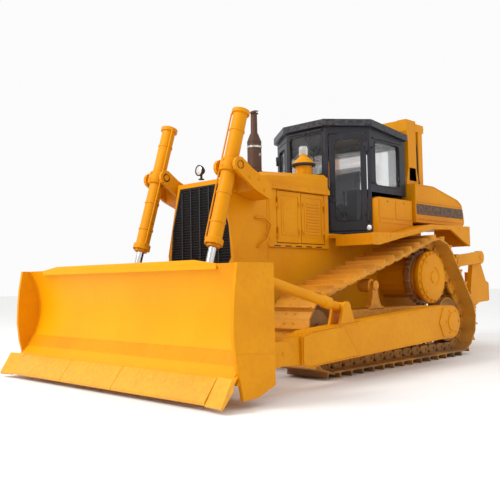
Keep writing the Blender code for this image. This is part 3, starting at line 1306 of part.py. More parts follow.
def build_ripper_bracket():
    x1 = CASE_REAR_X - SEAT
    x0 = x1 - 0.05
    parts = [box(x0, x1, -0.60, 0.60, 0.90, 1.62)]
    parts.append(box(LINK_PIVOT.x + 0.05, x1 - 0.004, -BEAM_HALF_WIDTH + 0.002, BEAM_HALF_WIDTH - 0.002,
                     LINK_PIVOT.z - 0.075, LINK_PIVOT.z + 0.075))
    for side in (1, -1):
        y0, y1 = span(side, LUG_IN, LUG_OUT)
        lug = arc((ARM_PIVOT.x, ARM_PIVOT.z), 0.085, 90, 270, 5) + [(x1 - 0.02, 0.66), (x1 - 0.02, 0.86)]
        parts.append(side_plate(lug, y0, y1))
        y0, y1 = span(side, LUG_IN + 0.002, 0.598)
        parts.append(box(x0 + 0.002, x1 - 0.001, y0, y1, 0.64, 0.92))
        y0, y1 = span(side, BEAM_HALF_WIDTH - 0.07, BEAM_HALF_WIDTH)
        lug = arc((LINK_PIVOT.x, LINK_PIVOT.z), 0.08, 90, 270, 5) + [(x1 - 0.01, 1.21), (x1 - 0.01, 1.385)]
        parts.append(side_plate(lug, y0, y1))
        parts.append(rod(at_y(LINK_PIVOT, side * (BEAM_HALF_WIDTH - 0.01)),
                         at_y(LINK_PIVOT, side * (BEAM_HALF_WIDTH + 0.10)), RIPPER_PIN))
        for inner in (-0.095, 0.065):
            ear = arc((HOIST_TOP.x, HOIST_TOP.z), 0.06, 90, 270, 4)
            ear += [(x1 - 0.01, HOIST_TOP.z - 0.07), (x1 - 0.01, HOIST_TOP.z + 0.07)]
            parts.append(side_plate(ear, side * HOIST_Y + inner, side * HOIST_Y + inner + 0.03))
        parts.append(rod(at_y(HOIST_TOP, side * HOIST_Y - 0.08), at_y(HOIST_TOP, side * HOIST_Y + 0.08),
                         HOIST_PIN))
    bracket = fused(*parts)
    bracket = cut(bracket, rod(at_y(ARM_PIVOT, -0.7), at_y(ARM_PIVOT, 0.7), bore_for(RIPPER_PIN)))
    place(bracket, "ripper_bracket", paint_yellow())


def hoist_foot():
    return ARM_PIVOT + SWEEP * HOIST_SHARE


def build_ripper_arm():
    rear = ARM_PIVOT + SWEEP
    reach = LUG_OUT + 0.01
    parts = [rod(at_y(ARM_PIVOT, -reach), at_y(ARM_PIVOT, reach), RIPPER_PIN),
             rod(at_y(rear, -0.70), at_y(rear, 0.70), RIPPER_PIN)]
    for side in (1, -1):
        middle = side * 0.43
        parts.append(beam(at_y(ARM_PIVOT, middle), at_y(rear, middle), 0.12, 0.15))
        parts.append(rod(at_y(ARM_PIVOT, middle - 0.059), at_y(ARM_PIVOT, middle + 0.059), 0.08))
        parts.append(rod(at_y(rear, middle - 0.059), at_y(rear, middle + 0.059), 0.08))
        # Ears for the hoist cylinder's rod.
        for inner in (-0.085, 0.055):
            spot = hoist_foot()
            ear = arc((spot.x, spot.z), 0.06, 0, 180, 4)
            for share in (0.73, 0.19):
                base = ARM_PIVOT + SWEEP * share
                ear.append((base.x, base.z - 0.068))
            parts.append(side_plate(ear, side * HOIST_Y + inner, side * HOIST_Y + inner + 0.03))
    low = Vector((0, 0, -0.055))
    for front, back in ((0.14, 0.26), (0.66, 0.84)):
        parts.append(beam(ARM_PIVOT + SWEEP * front + low, ARM_PIVOT + SWEEP * back + low, 0.78, 0.035))
    place(fused(*parts), "ripper_lower_arm", paint_yellow(), tuple(ARM_PIVOT))


def build_ripper_link():
    rear = LINK_PIVOT + SWEEP
    parts = []
    for side in (1, -1):
        near = BEAM_HALF_WIDTH + SEAT
        middle = side * (near + 0.045)
        parts.append(beam(at_y(LINK_PIVOT, middle), at_y(rear, middle), 0.09, 0.17))
        for spot in (LINK_PIVOT, rear):
            parts.append(rod(at_y(spot, middle - 0.044), at_y(spot, middle + 0.044), 0.10))
    cross = LINK_PIVOT + SWEEP * 0.45
    parts.append(rod(at_y(cross, -BEAM_HALF_WIDTH - 0.03), at_y(cross, BEAM_HALF_WIDTH + 0.03), 0.045))
    link = fused(*parts)
    bore = bore_for(RIPPER_PIN)
    for spot in (LINK_PIVOT, rear):
        link = cut(link, rod(at_y(spot, -1.1), at_y(spot, 1.1), bore))
    place(link, "ripper_upper_link", paint_yellow(), tuple(LINK_PIVOT))


def build_ripper_beam():
    low = ARM_PIVOT + SWEEP
    high = LINK_PIVOT + SWEEP
    parts = [box(-2.29, -2.03, -BEAM_HALF_WIDTH + 0.01, BEAM_HALF_WIDTH - 0.01, 0.68, 0.97),
             box(BEAM_REAR_X, -2.27, -BEAM_HALF_WIDTH + 0.03, BEAM_HALF_WIDTH - 0.03, 0.70, 0.95)]
    for side in (1, -1):
        y0, y1 = span(side, BEAM_HALF_WIDTH - 0.07, BEAM_HALF_WIDTH)
        outline = [(-1.74, 0.68), (-1.70, 0.86), (-1.80, high.z - 0.05)]
        outline += arc((high.x, high.z), 0.085, 60, 150, 5)
        outline += [(-2.22, 1.00), (-2.31, 0.97), (-2.31, 0.69), (-1.98, 0.67), (-1.84, 0.62)]
        parts.append(side_plate(outline, y0, y1))
        parts.append(rod(at_y(high, side * (BEAM_HALF_WIDTH - 0.01)),
                         at_y(high, side * (BEAM_HALF_WIDTH + 0.10)),
                         RIPPER_PIN))
        y0, y1 = span(side, 0.60, 0.67)
        lug = arc((low.x, low.z), 0.085, -90, 90, 5) + [(-2.06, 0.95), (-2.06, 0.70)]
        parts.append(side_plate(lug, y0, y1))
    shank = [(-2.27, 1.14), (-2.09, 1.14), (-2.09, 0.50), (-2.03, 0.32), (-1.84, 0.10), (-1.86, 0.085),
             (-2.00, 0.14), (-2.18, 0.30), (-2.27, 0.52)]
    for y in (-SHANK_Y, 0.0, SHANK_Y):
        parts.append(side_plate(shank, y - 0.04, y + 0.04))
    beam_piece = fused(*parts)
    bore = bore_for(RIPPER_PIN)
    beam_piece = cut(beam_piece, rod(at_y(low, -0.75), at_y(low, 0.75), bore))
    place(beam_piece, "ripper_beam", paint_yellow(), tuple(low))


def build_hoist_cylinders():
    for name, side in sides():
        top = at_y(HOIST_TOP, side * HOIST_Y)
        foot = at_y(hoist_foot(), side * HOIST_Y)
        along = (foot - top).normalized()
        bore = bore_for(HOIST_ROD_RADIUS)
        barrel = turned([(0, 0.03), (0.036, 0.03), (HOIST_RADIUS, 0.06), (HOIST_RADIUS, HOIST_BARREL - 0.06),
                         (HOIST_RADIUS + 0.010, HOIST_BARREL - 0.05),
                         (HOIST_RADIUS + 0.010, HOIST_BARREL - 0.01),
                         (HOIST_RADIUS, HOIST_BARREL), (bore, HOIST_BARREL), (bore, 0.07), (0, 0.07)], top,
                        along)
        eye = rod(top - Vector((0, 0.04, 0)), top + Vector((0, 0.04, 0)), 0.048)
        barrel = cut(fused(barrel, eye), rod(top - Vector((0, 0.1, 0)), top + Vector((0, 0.1, 0)),
                                             bore_for(HOIST_PIN)))
        place(barrel, "ripper_cylinder_" + name, paint_yellow(), tuple(top))
        length = (foot - top).length
        shaft = rod(foot - along * 0.02, foot - along * (length - 0.28), HOIST_ROD_RADIUS)
        eye = ring(foot - Vector((0, 0.045, 0)), foot + Vector((0, 0.045, 0)), 0.022, 0.045, 16)
        shaft = cut(shaft, rod(foot - Vector((0, 0.1, 0)), foot + Vector((0, 0.1, 0)), 0.021, 16))
        place(fused(shaft, eye), "ripper_rod_" + name, chrome(), tuple(foot))


build_tracks()
build_wheels()
build_track_frames()
build_main_frame()
build_radiator_guard()
build_hood()
build_engine_doors()
build_hood_fittings()
build_fenders()
build_side_boxes()
build_cab()
build_glass()
build_cab_doors()
build_cab_inside()
build_rops()
build_fuel_tank()
build_blade()
build_cutting_edge()
build_push_arms()
build_brace()
build_lift_cylinders()
build_tilt_cylinder()
build_ripper_bracket()
build_ripper_arm()
build_ripper_link()
build_ripper_beam()
build_hoist_cylinders()
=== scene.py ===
"""Looks of the crawler bulldozer: paint, worn iron, glass, and the small parts its solids leave out.

Metres, +X forward, +Y left, +Z up. Sizes are measured from the sprocket axle (x = 0) and the
ground (z = 0); assemble() slides each finished piece back with the machine.
"""
import math

import bmesh
import bpy
from mathutils import Matrix, Vector


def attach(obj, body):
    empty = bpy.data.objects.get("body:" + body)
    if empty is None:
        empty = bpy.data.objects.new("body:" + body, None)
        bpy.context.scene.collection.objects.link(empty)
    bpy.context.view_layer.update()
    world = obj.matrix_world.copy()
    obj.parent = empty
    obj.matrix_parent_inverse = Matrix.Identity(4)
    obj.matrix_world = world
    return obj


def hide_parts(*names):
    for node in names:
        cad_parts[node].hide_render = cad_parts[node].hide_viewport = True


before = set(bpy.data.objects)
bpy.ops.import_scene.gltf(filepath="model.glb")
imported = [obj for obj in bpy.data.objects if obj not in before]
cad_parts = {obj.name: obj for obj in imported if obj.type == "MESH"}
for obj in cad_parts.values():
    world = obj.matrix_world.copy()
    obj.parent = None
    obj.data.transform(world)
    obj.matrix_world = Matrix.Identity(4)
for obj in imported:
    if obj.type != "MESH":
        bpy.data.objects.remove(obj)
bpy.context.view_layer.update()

# ---- Main frame and engine -----------------------------------------------------------------
# The welded steel case and nose that carry everything, sprayed in the machine's yellow enamel.
# The diesel engine is bolted down between its side rails and shows when the hood doors open.
AXLE_X = -1.08
SIDES = (("left", 1), ("right", -1))
YELLOW = (0.73, 0.292, 0.001)
YELLOW_DEEP = (0.63, 0.225, 0.001)
PRIMER_BROWN = (0.26, 0.10, 0.03)


def socket(shader, name, value):
    shader.inputs[name].default_value = value


def finish(name, colour, shade, roughness, metallic=0.0, grain=90.0, bump=0.06, worn=None,
           wear=0.0, low_shade_and_mud=None, low_shade_and_mud_top=0.0):
    """A procedural surface: two tones in soft clouds, worn edges, painted shade and mud low down, fine
    grain.
    """
    made = bpy.data.materials.new(name)
    made.use_nodes = True
    nodes = made.node_tree.nodes
    links = made.node_tree.links
    shader = nodes["Principled BSDF"]
    socket(shader, "Metallic", metallic)
    socket(shader, "Specular IOR Level", 0.3)
    where = nodes.new("ShaderNodeTexCoord")

    def noise(scale, detail):
        node = nodes.new("ShaderNodeTexNoise")
        socket(node, "Scale", scale)
        socket(node, "Detail", detail)
        links.new(where.outputs["Object"], node.inputs["Vector"])
        return node.outputs["Fac"]

    def ranged(source, low, high, out_low, out_high):
        node = nodes.new("ShaderNodeMapRange")
        for key, value in zip(("From Min", "From Max", "To Min", "To Max"), (low, high, out_low, out_high)):
            socket(node, key, value)
        links.new(source, node.inputs["Value"])
        return node.outputs["Result"]

    def mixed(share, first, second):
        node = nodes.new("ShaderNodeMix")
        node.data_type = "RGBA"
        links.new(share, node.inputs["Factor"])
        for key, value in (("A", first), ("B", second)):
            target = [s for s in node.inputs if s.name == key and s.type == "RGBA"][0]
            if isinstance(value, tuple):
                target.default_value = (*value, 1.0)
            else:
                links.new(value, target)
        return [s for s in node.outputs if s.type == "RGBA"][0]

    def times(first, second):
        node = nodes.new("ShaderNodeMath")
        node.operation = "MULTIPLY"
        links.new(first, node.inputs[0])
        links.new(second, node.inputs[1])
        return node.outputs[0]

    clouds = noise(1.7, 5.0)
    specks = noise(23.0, 6.0)
    tone = mixed(ranged(clouds, 0.35, 0.72, 0.0, 0.75), colour, shade)
    tone = mixed(ranged(specks, 0.55, 0.85, 0.0, 0.35), tone, shade)
    if worn:
        sharp = nodes.new("ShaderNodeNewGeometry").outputs["Pointiness"]
        bare = times(ranged(sharp, 0.52, 0.60, 0.0, wear), ranged(specks, 0.38, 0.62, 0.0, 1.0))
        tone = mixed(bare, tone, worn)
    # Darker and browner towards the ground: painted shade under the machine, with mud.
    if low_shade_and_mud:
        apart = nodes.new("ShaderNodeSeparateXYZ")
        links.new(where.outputs["Object"], apart.inputs[0])
        low_shade_and_mud_share = times(
            ranged(apart.outputs["Z"], 0.0, low_shade_and_mud_top, 1.0, 0.0), ranged(clouds, 0.25, 0.6, 0.3, 1.0))
        tone = mixed(low_shade_and_mud_share, tone, low_shade_and_mud)
    links.new(tone, shader.inputs["Base Color"])
    links.new(ranged(specks, 0.3, 0.7, roughness - 0.07, roughness + 0.09), shader.inputs["Roughness"])
    relief = nodes.new("ShaderNodeBump")
    socket(relief, "Strength", bump)
    socket(relief, "Distance", 0.004)
    links.new(noise(grain, 3.0), relief.inputs["Height"])
    links.new(relief.outputs["Normal"], shader.inputs["Normal"])
    return made


def prism(corners, step):
    """A flat outline pushed along step."""
    bm = bmesh.new()
    near = [bm.verts.new(corner) for corner in corners]
    far = [bm.verts.new(Vector(corner) + Vector(step)) for corner in corners]
    bm.faces.new(near)
    bm.faces.new(far)
    for k in range(len(near)):
        bm.faces.new((near[k - 1], near[k], far[k], far[k - 1]))
    bmesh.ops.recalc_face_normals(bm, faces=bm.faces)
    return bm


def block(x0, x1, y0, y1, z0, z1):
    return prism([(x0, y0, z0), (x1, y0, z0), (x1, y1, z0), (x0, y1, z0)], (0, 0, z1 - z0))


def side_plate(outline, y0, y1):
    return prism([(x, y0, z) for x, z in outline], (0, y1 - y0, 0))


def plan_plate(outline, z0, z1):
    return prism([(x, y, z0) for x, y in outline], (0, 0, z1 - z0))


def front_plate(outline, x0, x1):
    return prism([(x0, y, z) for y, z in outline], (x1 - x0, 0, 0))


def turned(profile, start, direction, sides=36):
    """A lathe profile of radius and distance along the axis, spun about it."""
    bm = bmesh.new()
    turn = Vector(direction).normalized().to_track_quat("Z", "Y").to_matrix().to_4x4()
    rings = []
    for radius, along in profile:
        if radius < 1e-6:
            rings.append([bm.verts.new((0, 0, along))])
            continue
        steps = (2 * math.pi * k / sides for k in range(sides))
        rings.append([bm.verts.new((radius * math.cos(a), radius * math.sin(a), along)) for a in steps])
    for low, high in zip(rings, rings[1:]):
        for k in range(sides):
            corners = [
                low[k % len(low)], low[(k + 1) % len(low)], high[(k + 1) % len(high)],
                high[k % len(high)]]
            corners = list(dict.fromkeys(corners))
            if len(corners) > 2:
                bm.faces.new(corners)
    bmesh.ops.recalc_face_normals(bm, faces=bm.faces)
    bm.transform(Matrix.Translation(start) @ turn)
    return bm


def rod(start, end, radius, sides=28):
    length = (Vector(end) - Vector(start)).length
    return turned(
        [(0, 0), (radius, 0), (radius, length), (0, length)], start, Vector(end) - Vector(start), sides)


def across(x, z, y0, y1, radius, sides=28):
    """A round pin that lies across the machine."""
    return rod((x, y0, z), (x, y1, z), radius, sides)


def rounded_path(points, corner):
    """The points with each inner corner swept round."""
    spots = [Vector(p) for p in points]
    path = [spots[0]]
    for before, here, after in zip(spots, spots[1:], spots[2:]):
        reach = min(corner, (before - here).length * 0.45, (after - here).length * 0.45)
        start = here + (before - here).normalized() * reach
        end = here + (after - here).normalized() * reach
        for k in range(7):
            t = k / 6
            path.append(start * (1 - t) ** 2 + here * 2 * t * (1 - t) + end * t * t)
    return path + [spots[-1]]


def pipe(points, radius, corner=0.05, sides=12):
    """A round bar or hose that follows the points."""
    path = rounded_path(points, corner)
    bm = bmesh.new()
    rings = []
    side = None
    for i, spot in enumerate(path):
        ahead = (path[min(i + 1, len(path) - 1)] - path[max(i - 1, 0)]).normalized()
        if side is None:
            side = ahead.orthogonal().normalized()
        side = (side - ahead * side.dot(ahead)).normalized()
        other = ahead.cross(side)
        steps = (2 * math.pi * k / sides for k in range(sides))
        rings.append([
            bm.verts.new(spot + (side * math.cos(a) + other * math.sin(a)) * radius) for a in steps])
    for low, high in zip(rings, rings[1:]):
        for k in range(sides):
            bm.faces.new((low[k], low[(k + 1) % sides], high[(k + 1) % sides], high[k]))
    bm.faces.new(rings[0])
    bm.faces.new(rings[-1])
    bmesh.ops.recalc_face_normals(bm, faces=bm.faces)
    return bm


def merged(shapes):
    bm = bmesh.new()
    for shape in shapes:
        spare = bpy.data.meshes.new("spare")
        shape.to_mesh(spare)
        bm.from_mesh(spare)
        bpy.data.meshes.remove(spare)
        shape.free()
    return bm


def copied(shape, places):
    """The shape set down once at each matrix."""
    spare = bpy.data.meshes.new("spare")
    shape.to_mesh(spare)
    shape.free()
    bm = bmesh.new()
    for place in places:
        before = len(bm.verts)
        bm.from_mesh(spare)
        bm.verts.ensure_lookup_table()
        bmesh.ops.transform(bm, matrix=place, verts=bm.verts[before:])
    bpy.data.meshes.remove(spare)
    return bm


def bolts(spots, out, size=0.014, tall=0.012):
    """Hexagon heads on washers, standing out of a surface."""
    washer = turned(
        [(0, 0), (size * 1.35, 0), (size * 1.35, tall * 0.25), (0, tall * 0.25)], (0, 0, 0), (0, 0, 1),
        16)
    head = turned([(size, 0), (size, tall * 0.8), (size * 0.8, tall), (0, tall)], (0, 0, 0), (0, 0, 1), 6)
    turn = Vector(out).normalized().to_track_quat("Z", "Y").to_matrix().to_4x4()
    return copied(merged([washer, head]), [Matrix.Translation(spot) @ turn for spot in spots])


def arc(x, z, radius, start_deg, end_deg, steps=14):
    angles = (math.radians(start_deg + (end_deg - start_deg) * k / steps) for k in range(steps + 1))
    return [(x + radius * math.cos(a), z + radius * math.sin(a)) for a in angles]


def shaded(mesh, sharp_deg=38):
    mesh.shade_smooth()
    mesh.set_sharp_from_angle(angle=math.radians(sharp_deg))


def bevelled(obj, width):
    """Broken edges, as ground or painted steel has them."""
    edge = obj.modifiers.new("edges", "BEVEL")
    edge.width = width
    edge.segments = 2
    edge.limit_method = "ANGLE"
    edge.angle_limit = math.radians(38)
    edge.harden_normals = True


def assemble(name, shapes, surface, body, replaced=(), edge=0.004):
    """Joins the shapes into one piece of one finish, and hangs it on its body."""
    mesh = bpy.data.meshes.new(name)
    bm = merged(shapes)
    bmesh.ops.translate(bm, vec=(AXLE_X, 0, 0), verts=bm.verts)
    bm.to_mesh(mesh)
    bm.free()
    shaded(mesh)
    mesh.materials.append(surface)
    obj = bpy.data.objects.new(name, mesh)
    bpy.context.scene.collection.objects.link(obj)
    if edge:
        bevelled(obj, edge)
    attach(obj, body)
    if replaced:
        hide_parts(*replaced)
    return obj


def dress(node, surface, edge=0.004):
    """Gives a solid that still shows its finish and broken edges."""
    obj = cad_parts[node]
    obj.data.materials.clear()
    obj.data.materials.append(surface)
    if edge:
        weld = obj.modifiers.new("weld", "WELD")
        weld.merge_threshold = 0.00005
        bevelled(obj, edge)
    return obj


enamel = finish("machine_yellow_enamel", YELLOW, YELLOW_DEEP, 0.42, worn=PRIMER_BROWN, wear=0.14)
socket(enamel.node_tree.nodes["Principled BSDF"], "Specular IOR Level", 0.12)
dress("main_frame", enamel)
dress("engine_block", enamel)

HEAD_COVERS = 6
engine_parts = []
for cover in range(HEAD_COVERS):
    x = 1.47 + cover * 0.145
    engine_parts.append(block(x, x + 0.11, -0.13, 0.13, 1.945, 2.03))
    engine_parts.append(bolts([(x + 0.055, 0.0, 2.03)], (0, 0, 1), 0.012))
for side_name, side in SIDES:
    engine_parts.append(pipe(
        [(1.45, side * 0.345, 1.80), (2.20, side * 0.345, 1.80), (2.24, side * 0.345, 1.93)], 0.045))
    engine_parts.append(block(
        1.46, 2.16, min(side * 0.29, side * 0.33), max(side * 0.29, side * 0.33), 0.62, 0.80))
    for filter_x in (1.60, 1.76, 1.92):
        engine_parts.append(turned(
            [(0, 0), (0.052, 0.0), (0.056, 0.02), (0.056, 0.20), (0.05, 0.22), (0, 0.22)],
            (filter_x, side * 0.36, 1.50), (0, 0, 1)))
assemble("engine_fittings", engine_parts, enamel, "tractor")
NOSE_BOLTS = [(2.62, side * 0.482, z) for side in (-1, 1) for z in (0.78, 0.90, 1.02)]
for out in (-1, 1):
    heads = [spot for spot in NOSE_BOLTS if spot[1] * out > 0]
    assemble("nose_bolts_" + ("right" if out < 0 else "left"), [bolts(heads, (0, out, 0), 0.018)], enamel,
             "tractor", edge=0)

# ---- Track frames and rollers ----------------------------------------------------------------
# One welded box beam a side, with seven flanged rollers bolted under it, a carrier roller on a
# post above, bolted guide guards, and a fork at each end for the idler's sliding bearing block.
GAUGE = 0.99
IDLER_Z = 0.485
IDLER_XS = (-0.55, 2.29)
FRAME_X = (-0.19, 1.93)
ROLLERS = 7
ROLLER_PITCH = 0.32
FIRST_ROLLER_X = FRAME_X[0] + 0.10
ROLLER_Z = 0.292
CARRIER_SPOT = (1.257, 0.975)
TRUNNION = (0.30, 0.51)
# The undercarriage enamel turns darker and browner below 0.75 m: painted shade.
undercoat = finish("undercarriage_enamel_painted_shade_low", (0.78, 0.32, 0.012), (0.50, 0.19, 0.02), 0.55,
                   worn=PRIMER_BROWN, wear=0.6, low_shade_and_mud=(0.30, 0.15, 0.06), low_shade_and_mud_top=0.75)


def from_track(side, near, far):
    """Two distances out from the track's middle line, as low and high y."""
    middle = side * GAUGE
    return sorted((middle + side * near, middle + side * far))


def at(spot, y):
    """A spot of the side view, set at y across the machine."""
    return (spot[0], y, spot[1])


for side_name, side in SIDES:
    middle = side * GAUGE
    parts = [side_plate(
        [
            (FRAME_X[0], 0.40), (FRAME_X[1], 0.40), (FRAME_X[1], 0.64), (1.78, 0.70), (0.10, 0.70),
            (FRAME_X[0], 0.65)],
        middle - 0.125, middle + 0.125)]
    for near, far in ((0.103, 0.130), (-0.130, -0.103)):
        y0, y1 = from_track(side, near, far)
        parts.append(side_plate(
            [
                (FRAME_X[0] + 0.02, 0.36), (FRAME_X[1] - 0.02, 0.36), (FRAME_X[1] - 0.02, 0.44),
                (FRAME_X[0] + 0.02, 0.44)],
            y0, y1))
        # Guide guards hang beside the rollers, scalloped between them.
        guard = [(FRAME_X[0] + 0.04, 0.40)]
        for roller in range(ROLLERS):
            x = FIRST_ROLLER_X + roller * ROLLER_PITCH
            guard += [(x - 0.10, 0.37), (x - 0.06, 0.235), (x + 0.06, 0.235), (x + 0.10, 0.37)]
        guard += [(FRAME_X[1] - 0.04, 0.40)]
        parts.append(side_plate(guard, y0, y1 - 0.006))
    face = side * (GAUGE + 0.132)
    for roller in range(ROLLERS):
        x = FIRST_ROLLER_X + roller * ROLLER_PITCH
        parts.append(turned(
            [
                (0, 0), (0.05, 0), (0.05, 0.045), (0.115, 0.05), (0.115, 0.075), (0.098, 0.08),
                (0.098, 0.13), (0.115, 0.135), (0.115, 0.155), (0.05, 0.16), (0.05, 0.20), (0, 0.20)],
            (x, middle - 0.10, ROLLER_Z), (0, 1, 0)))
        parts.append(across(x, ROLLER_Z, middle - 0.128, middle + 0.136, 0.034))
        parts.append(bolts([(x + dx, face, 0.405) for dx in (-0.045, 0.045)], (0, side, 0), 0.013))
    # Idler forks, bearing blocks and their bolts.
    for idler_x, frame_x in zip(IDLER_XS, FRAME_X):
        away = 1 if idler_x > frame_x else -1
        for near, far in ((0.101, 0.129), (-0.129, -0.101)):
            y0, y1 = from_track(side, near, far)
            x0, x1 = sorted((frame_x - away * 0.2, idler_x + away * 0.08))
            parts.append(block(x0, x1, y0, y1, 0.42, 0.55))
        x0, x1 = sorted((idler_x - away * 0.13, idler_x + away * 0.07))
        y0, y1 = from_track(side, 0.128, 0.150)
        parts.append(block(x0, x1, y0, y1, 0.425, 0.545))
        spots = [(x, side * (GAUGE + 0.150), z) for x in (x0 + 0.03, x1 - 0.03) for z in (0.45, 0.52)]
        parts.append(bolts(spots, (0, side, 0), 0.014))
        parts.append(turned([(0, 0), (0.045, 0), (0.045, 0.02), (0.03, 0.026), (0, 0.026)],
                            (idler_x, side * (GAUGE + 0.130), IDLER_Z), (0, side, 0)))
    # Carrier roller on its forked post.
    cx, cz = CARRIER_SPOT
    parts.append(turned(
        [
            (0, 0), (0.05, 0), (0.055, 0.02), (0.078, 0.03), (0.078, 0.17), (0.055, 0.18), (0.05, 0.20),
            (0, 0.20)],
        (cx, middle - 0.10, cz), (0, 1, 0)))
    y0, y1 = from_track(side, 0.05, 0.12)
    parts.append(side_plate(
        [
            (cx - 0.14, 0.69), (cx + 0.12, 0.69), (cx + 0.055, 0.84), (cx + 0.05, cz), (cx - 0.05, cz),
            (cx - 0.07, 0.84)],
        y0, y1))
    parts.append(block(cx - 0.17, cx + 0.15, *from_track(side, 0.02, 0.125), 0.69, 0.725))
    parts.append(bolts(
        [(x, side * (GAUGE + 0.09), 0.725) for x in (cx - 0.15, cx + 0.13)], (0, 0, 1), 0.014))
    parts.append(turned([(0, 0), (0.058, 0), (0.058, 0.02), (0.04, 0.028), (0, 0.028)],
                        (cx, side * (GAUGE + 0.115), cz), (0, side, 0)))
    # Trunnion pin out through the push arm, with its bolted keeper.
    outer = GAUGE + 0.13
    parts.append(rod(at(TRUNNION, side * (outer - 0.02)), at(TRUNNION, side * (outer + 0.225)), 0.128, 40))
    if side > 0:
        parts.append(rod(at(TRUNNION, outer), at(TRUNNION, 1.515), 0.042))
    else:
        parts.append(rod(at(TRUNNION, -outer), at(TRUNNION, -1.594), 0.0398))
    assemble("track_frame_and_rollers_" + side_name, parts, undercoat, "tractor",
             ["track_frame_" + side_name])
ball = [turned([(0.042, -0.06)] + [(0.065 * math.cos(math.radians(a)), 0.065 * math.sin(math.radians(a)))
                                   for a in range(-45, 91, 9)], at(TRUNNION, 1.485), (0, 1, 0), 40)]
assemble("trunnion_ball_left", ball, undercoat, "tractor", edge=0)

# ---- Sprockets and idlers --------------------------------------------------------------------
# The raised sprocket is a bolted ring of cast tooth segments round the final drive's dished hub.
# The idlers are welded wheels with a raised middle rim, worn bright where the links run.
AXLE_Z = 1.065
TEETH = 25
TIP_RADIUS = 0.3745
HUB_FACE = 1.20
DRIVE_INNER = 0.881
RIM_BOLTS = 20
HUB_BOLTS = 12
tooth_iron = finish("worn_tooth_iron", (0.42, 0.20, 0.05), (0.16, 0.09, 0.05), 0.5, metallic=0.35,
                    worn=(0.45, 0.40, 0.36), wear=0.8)
for side_name, side in SIDES:
    ring_outline = []
    for tooth in range(TEETH):
        for share, depth in (
            (-0.30, 0.925), (-0.16, 0.93), (-0.07, 0.993), (0.07, 0.993), (0.16, 0.93), (0.30, 0.925)):
            angle = 2 * math.pi * (tooth + 0.5 + share) / TEETH
            ring_outline.append((
                TIP_RADIUS * depth * math.cos(angle), AXLE_Z + TIP_RADIUS * depth * math.sin(angle)))
    y0, y1 = sorted((side * (GAUGE - 0.035), side * (GAUGE + 0.035)))
    assemble(
        "sprocket_teeth_" + side_name, [side_plate(ring_outline, y0, y1)], tooth_iron, "tractor")
    face_in = HUB_FACE - DRIVE_INNER
    drum = turned(
        [
            (0, 0), (0.25, 0), (0.29, 0.04), (0.29, 0.17), (0.335, 0.215), (0.343, 0.235), (0.343, 0.268),
            (0.330, 0.282), (0.305, 0.286), (0.300, 0.302), (0.235, 0.316), (0.225, face_in - 0.004),
            (0.130, face_in - 0.001), (0.120, face_in - 0.014), (0.085, face_in - 0.014),
            (0.075, face_in), (0, face_in)],
        (0, side * DRIVE_INNER, AXLE_Z), (0, side, 0), 64)
    parts = [drum]
    rim = [2 * math.pi * (k + 0.5) / RIM_BOLTS for k in range(RIM_BOLTS)]
    spots = [(0.318 * math.cos(a), side * 1.165, AXLE_Z + 0.318 * math.sin(a)) for a in rim]
    parts.append(bolts(spots, (0, side, 0), 0.0125, 0.016))
    inner = [2 * math.pi * k / HUB_BOLTS for k in range(HUB_BOLTS)]
    spots = [(0.185 * math.cos(a), side * 1.186, AXLE_Z + 0.185 * math.sin(a)) for a in inner]
    parts.append(bolts(spots, (0, side, 0), 0.011, 0.013))
    for turn in range(4):
        a = math.pi / 4 + turn * math.pi / 2
        parts.append(rod((0.265 * math.cos(a), side * 1.17, AXLE_Z + 0.265 * math.sin(a)),
                         (0.265 * math.cos(a), side * 1.196, AXLE_Z + 0.265 * math.sin(a)), 0.016, 16))
    assemble(
        "final_drive_hub_" + side_name, parts, enamel, "tractor",
        ["sprocket_" + side_name], edge=0.003)
    for label, idler_x in zip(("rear_idler_", "front_idler_"), IDLER_XS):
        wheel = turned(
            [
                (0, -0.1005), (0.09, -0.1005), (0.10, -0.06), (0.24, -0.045), (0.285, -0.085),
                (0.300, -0.085), (0.302, -0.042), (0.3045, -0.038), (0.3045, 0.038), (0.302, 0.042),
                (0.300, 0.085), (0.285, 0.085), (0.24, 0.045), (0.10, 0.06), (0.09, 0.1005), (0, 0.1005)],
            (idler_x, side * GAUGE, IDLER_Z), (0, 1, 0), 56)
        assemble(label + "wheel_" + side_name, [wheel], tooth_iron, "tractor",
                 [label + side_name], edge=0.002)

# ---- Tracks ----------------------------------------------------------------------------------
# Two chains of forged links on pins, each link pair with a rolled single-grouser shoe held by
# four bolts. The grousers are rubbed bare and the rest keeps thin, rust-stained paint.
SHOES = 42
FIRST_SHOE = 0.35
SHOE_HALF = 0.28
GROUSER = 0.055
PLATE = 0.022
BELT_CIRCLES = ((0.0, AXLE_Z, 0.50), (IDLER_XS[0], IDLER_Z, 0.43), (IDLER_XS[1], IDLER_Z, 0.43))
# The track turns darker and browner below 0.42 m, on its lower run: painted shade.
track_iron = finish("rust_stained_track_iron", (0.74, 0.33, 0.022), (0.36, 0.15, 0.03), 0.58, metallic=0.15,
                    worn=(0.10, 0.075, 0.06), wear=0.95, low_shade_and_mud=(0.20, 0.105, 0.05), low_shade_and_mud_top=0.42, bump=0.12)


def belt_path(steps=24):
    """The shoe surface as a closed run of arcs and straights, counter-clockwise from the left side."""
    points = []
    for i, (x, z, radius) in enumerate(BELT_CIRCLES):
        leaving = []
        for first, second in (
            (BELT_CIRCLES[i - 1], (x, z, radius)), ((x, z, radius), BELT_CIRCLES[(i + 1) % 3])):
            dx, dz = second[0] - first[0], second[1] - first[1]
            leaving.append(math.atan2(dz, dx) - math.acos((first[2] - second[2]) / math.hypot(dx, dz)))
        sweep = (leaving[1] - leaving[0]) % (2 * math.pi)
        for k in range(steps + 1):
            angle = leaving[0] + sweep * k / steps
            points.append(Vector((x + radius * math.cos(angle), z + radius * math.sin(angle))))
    return points


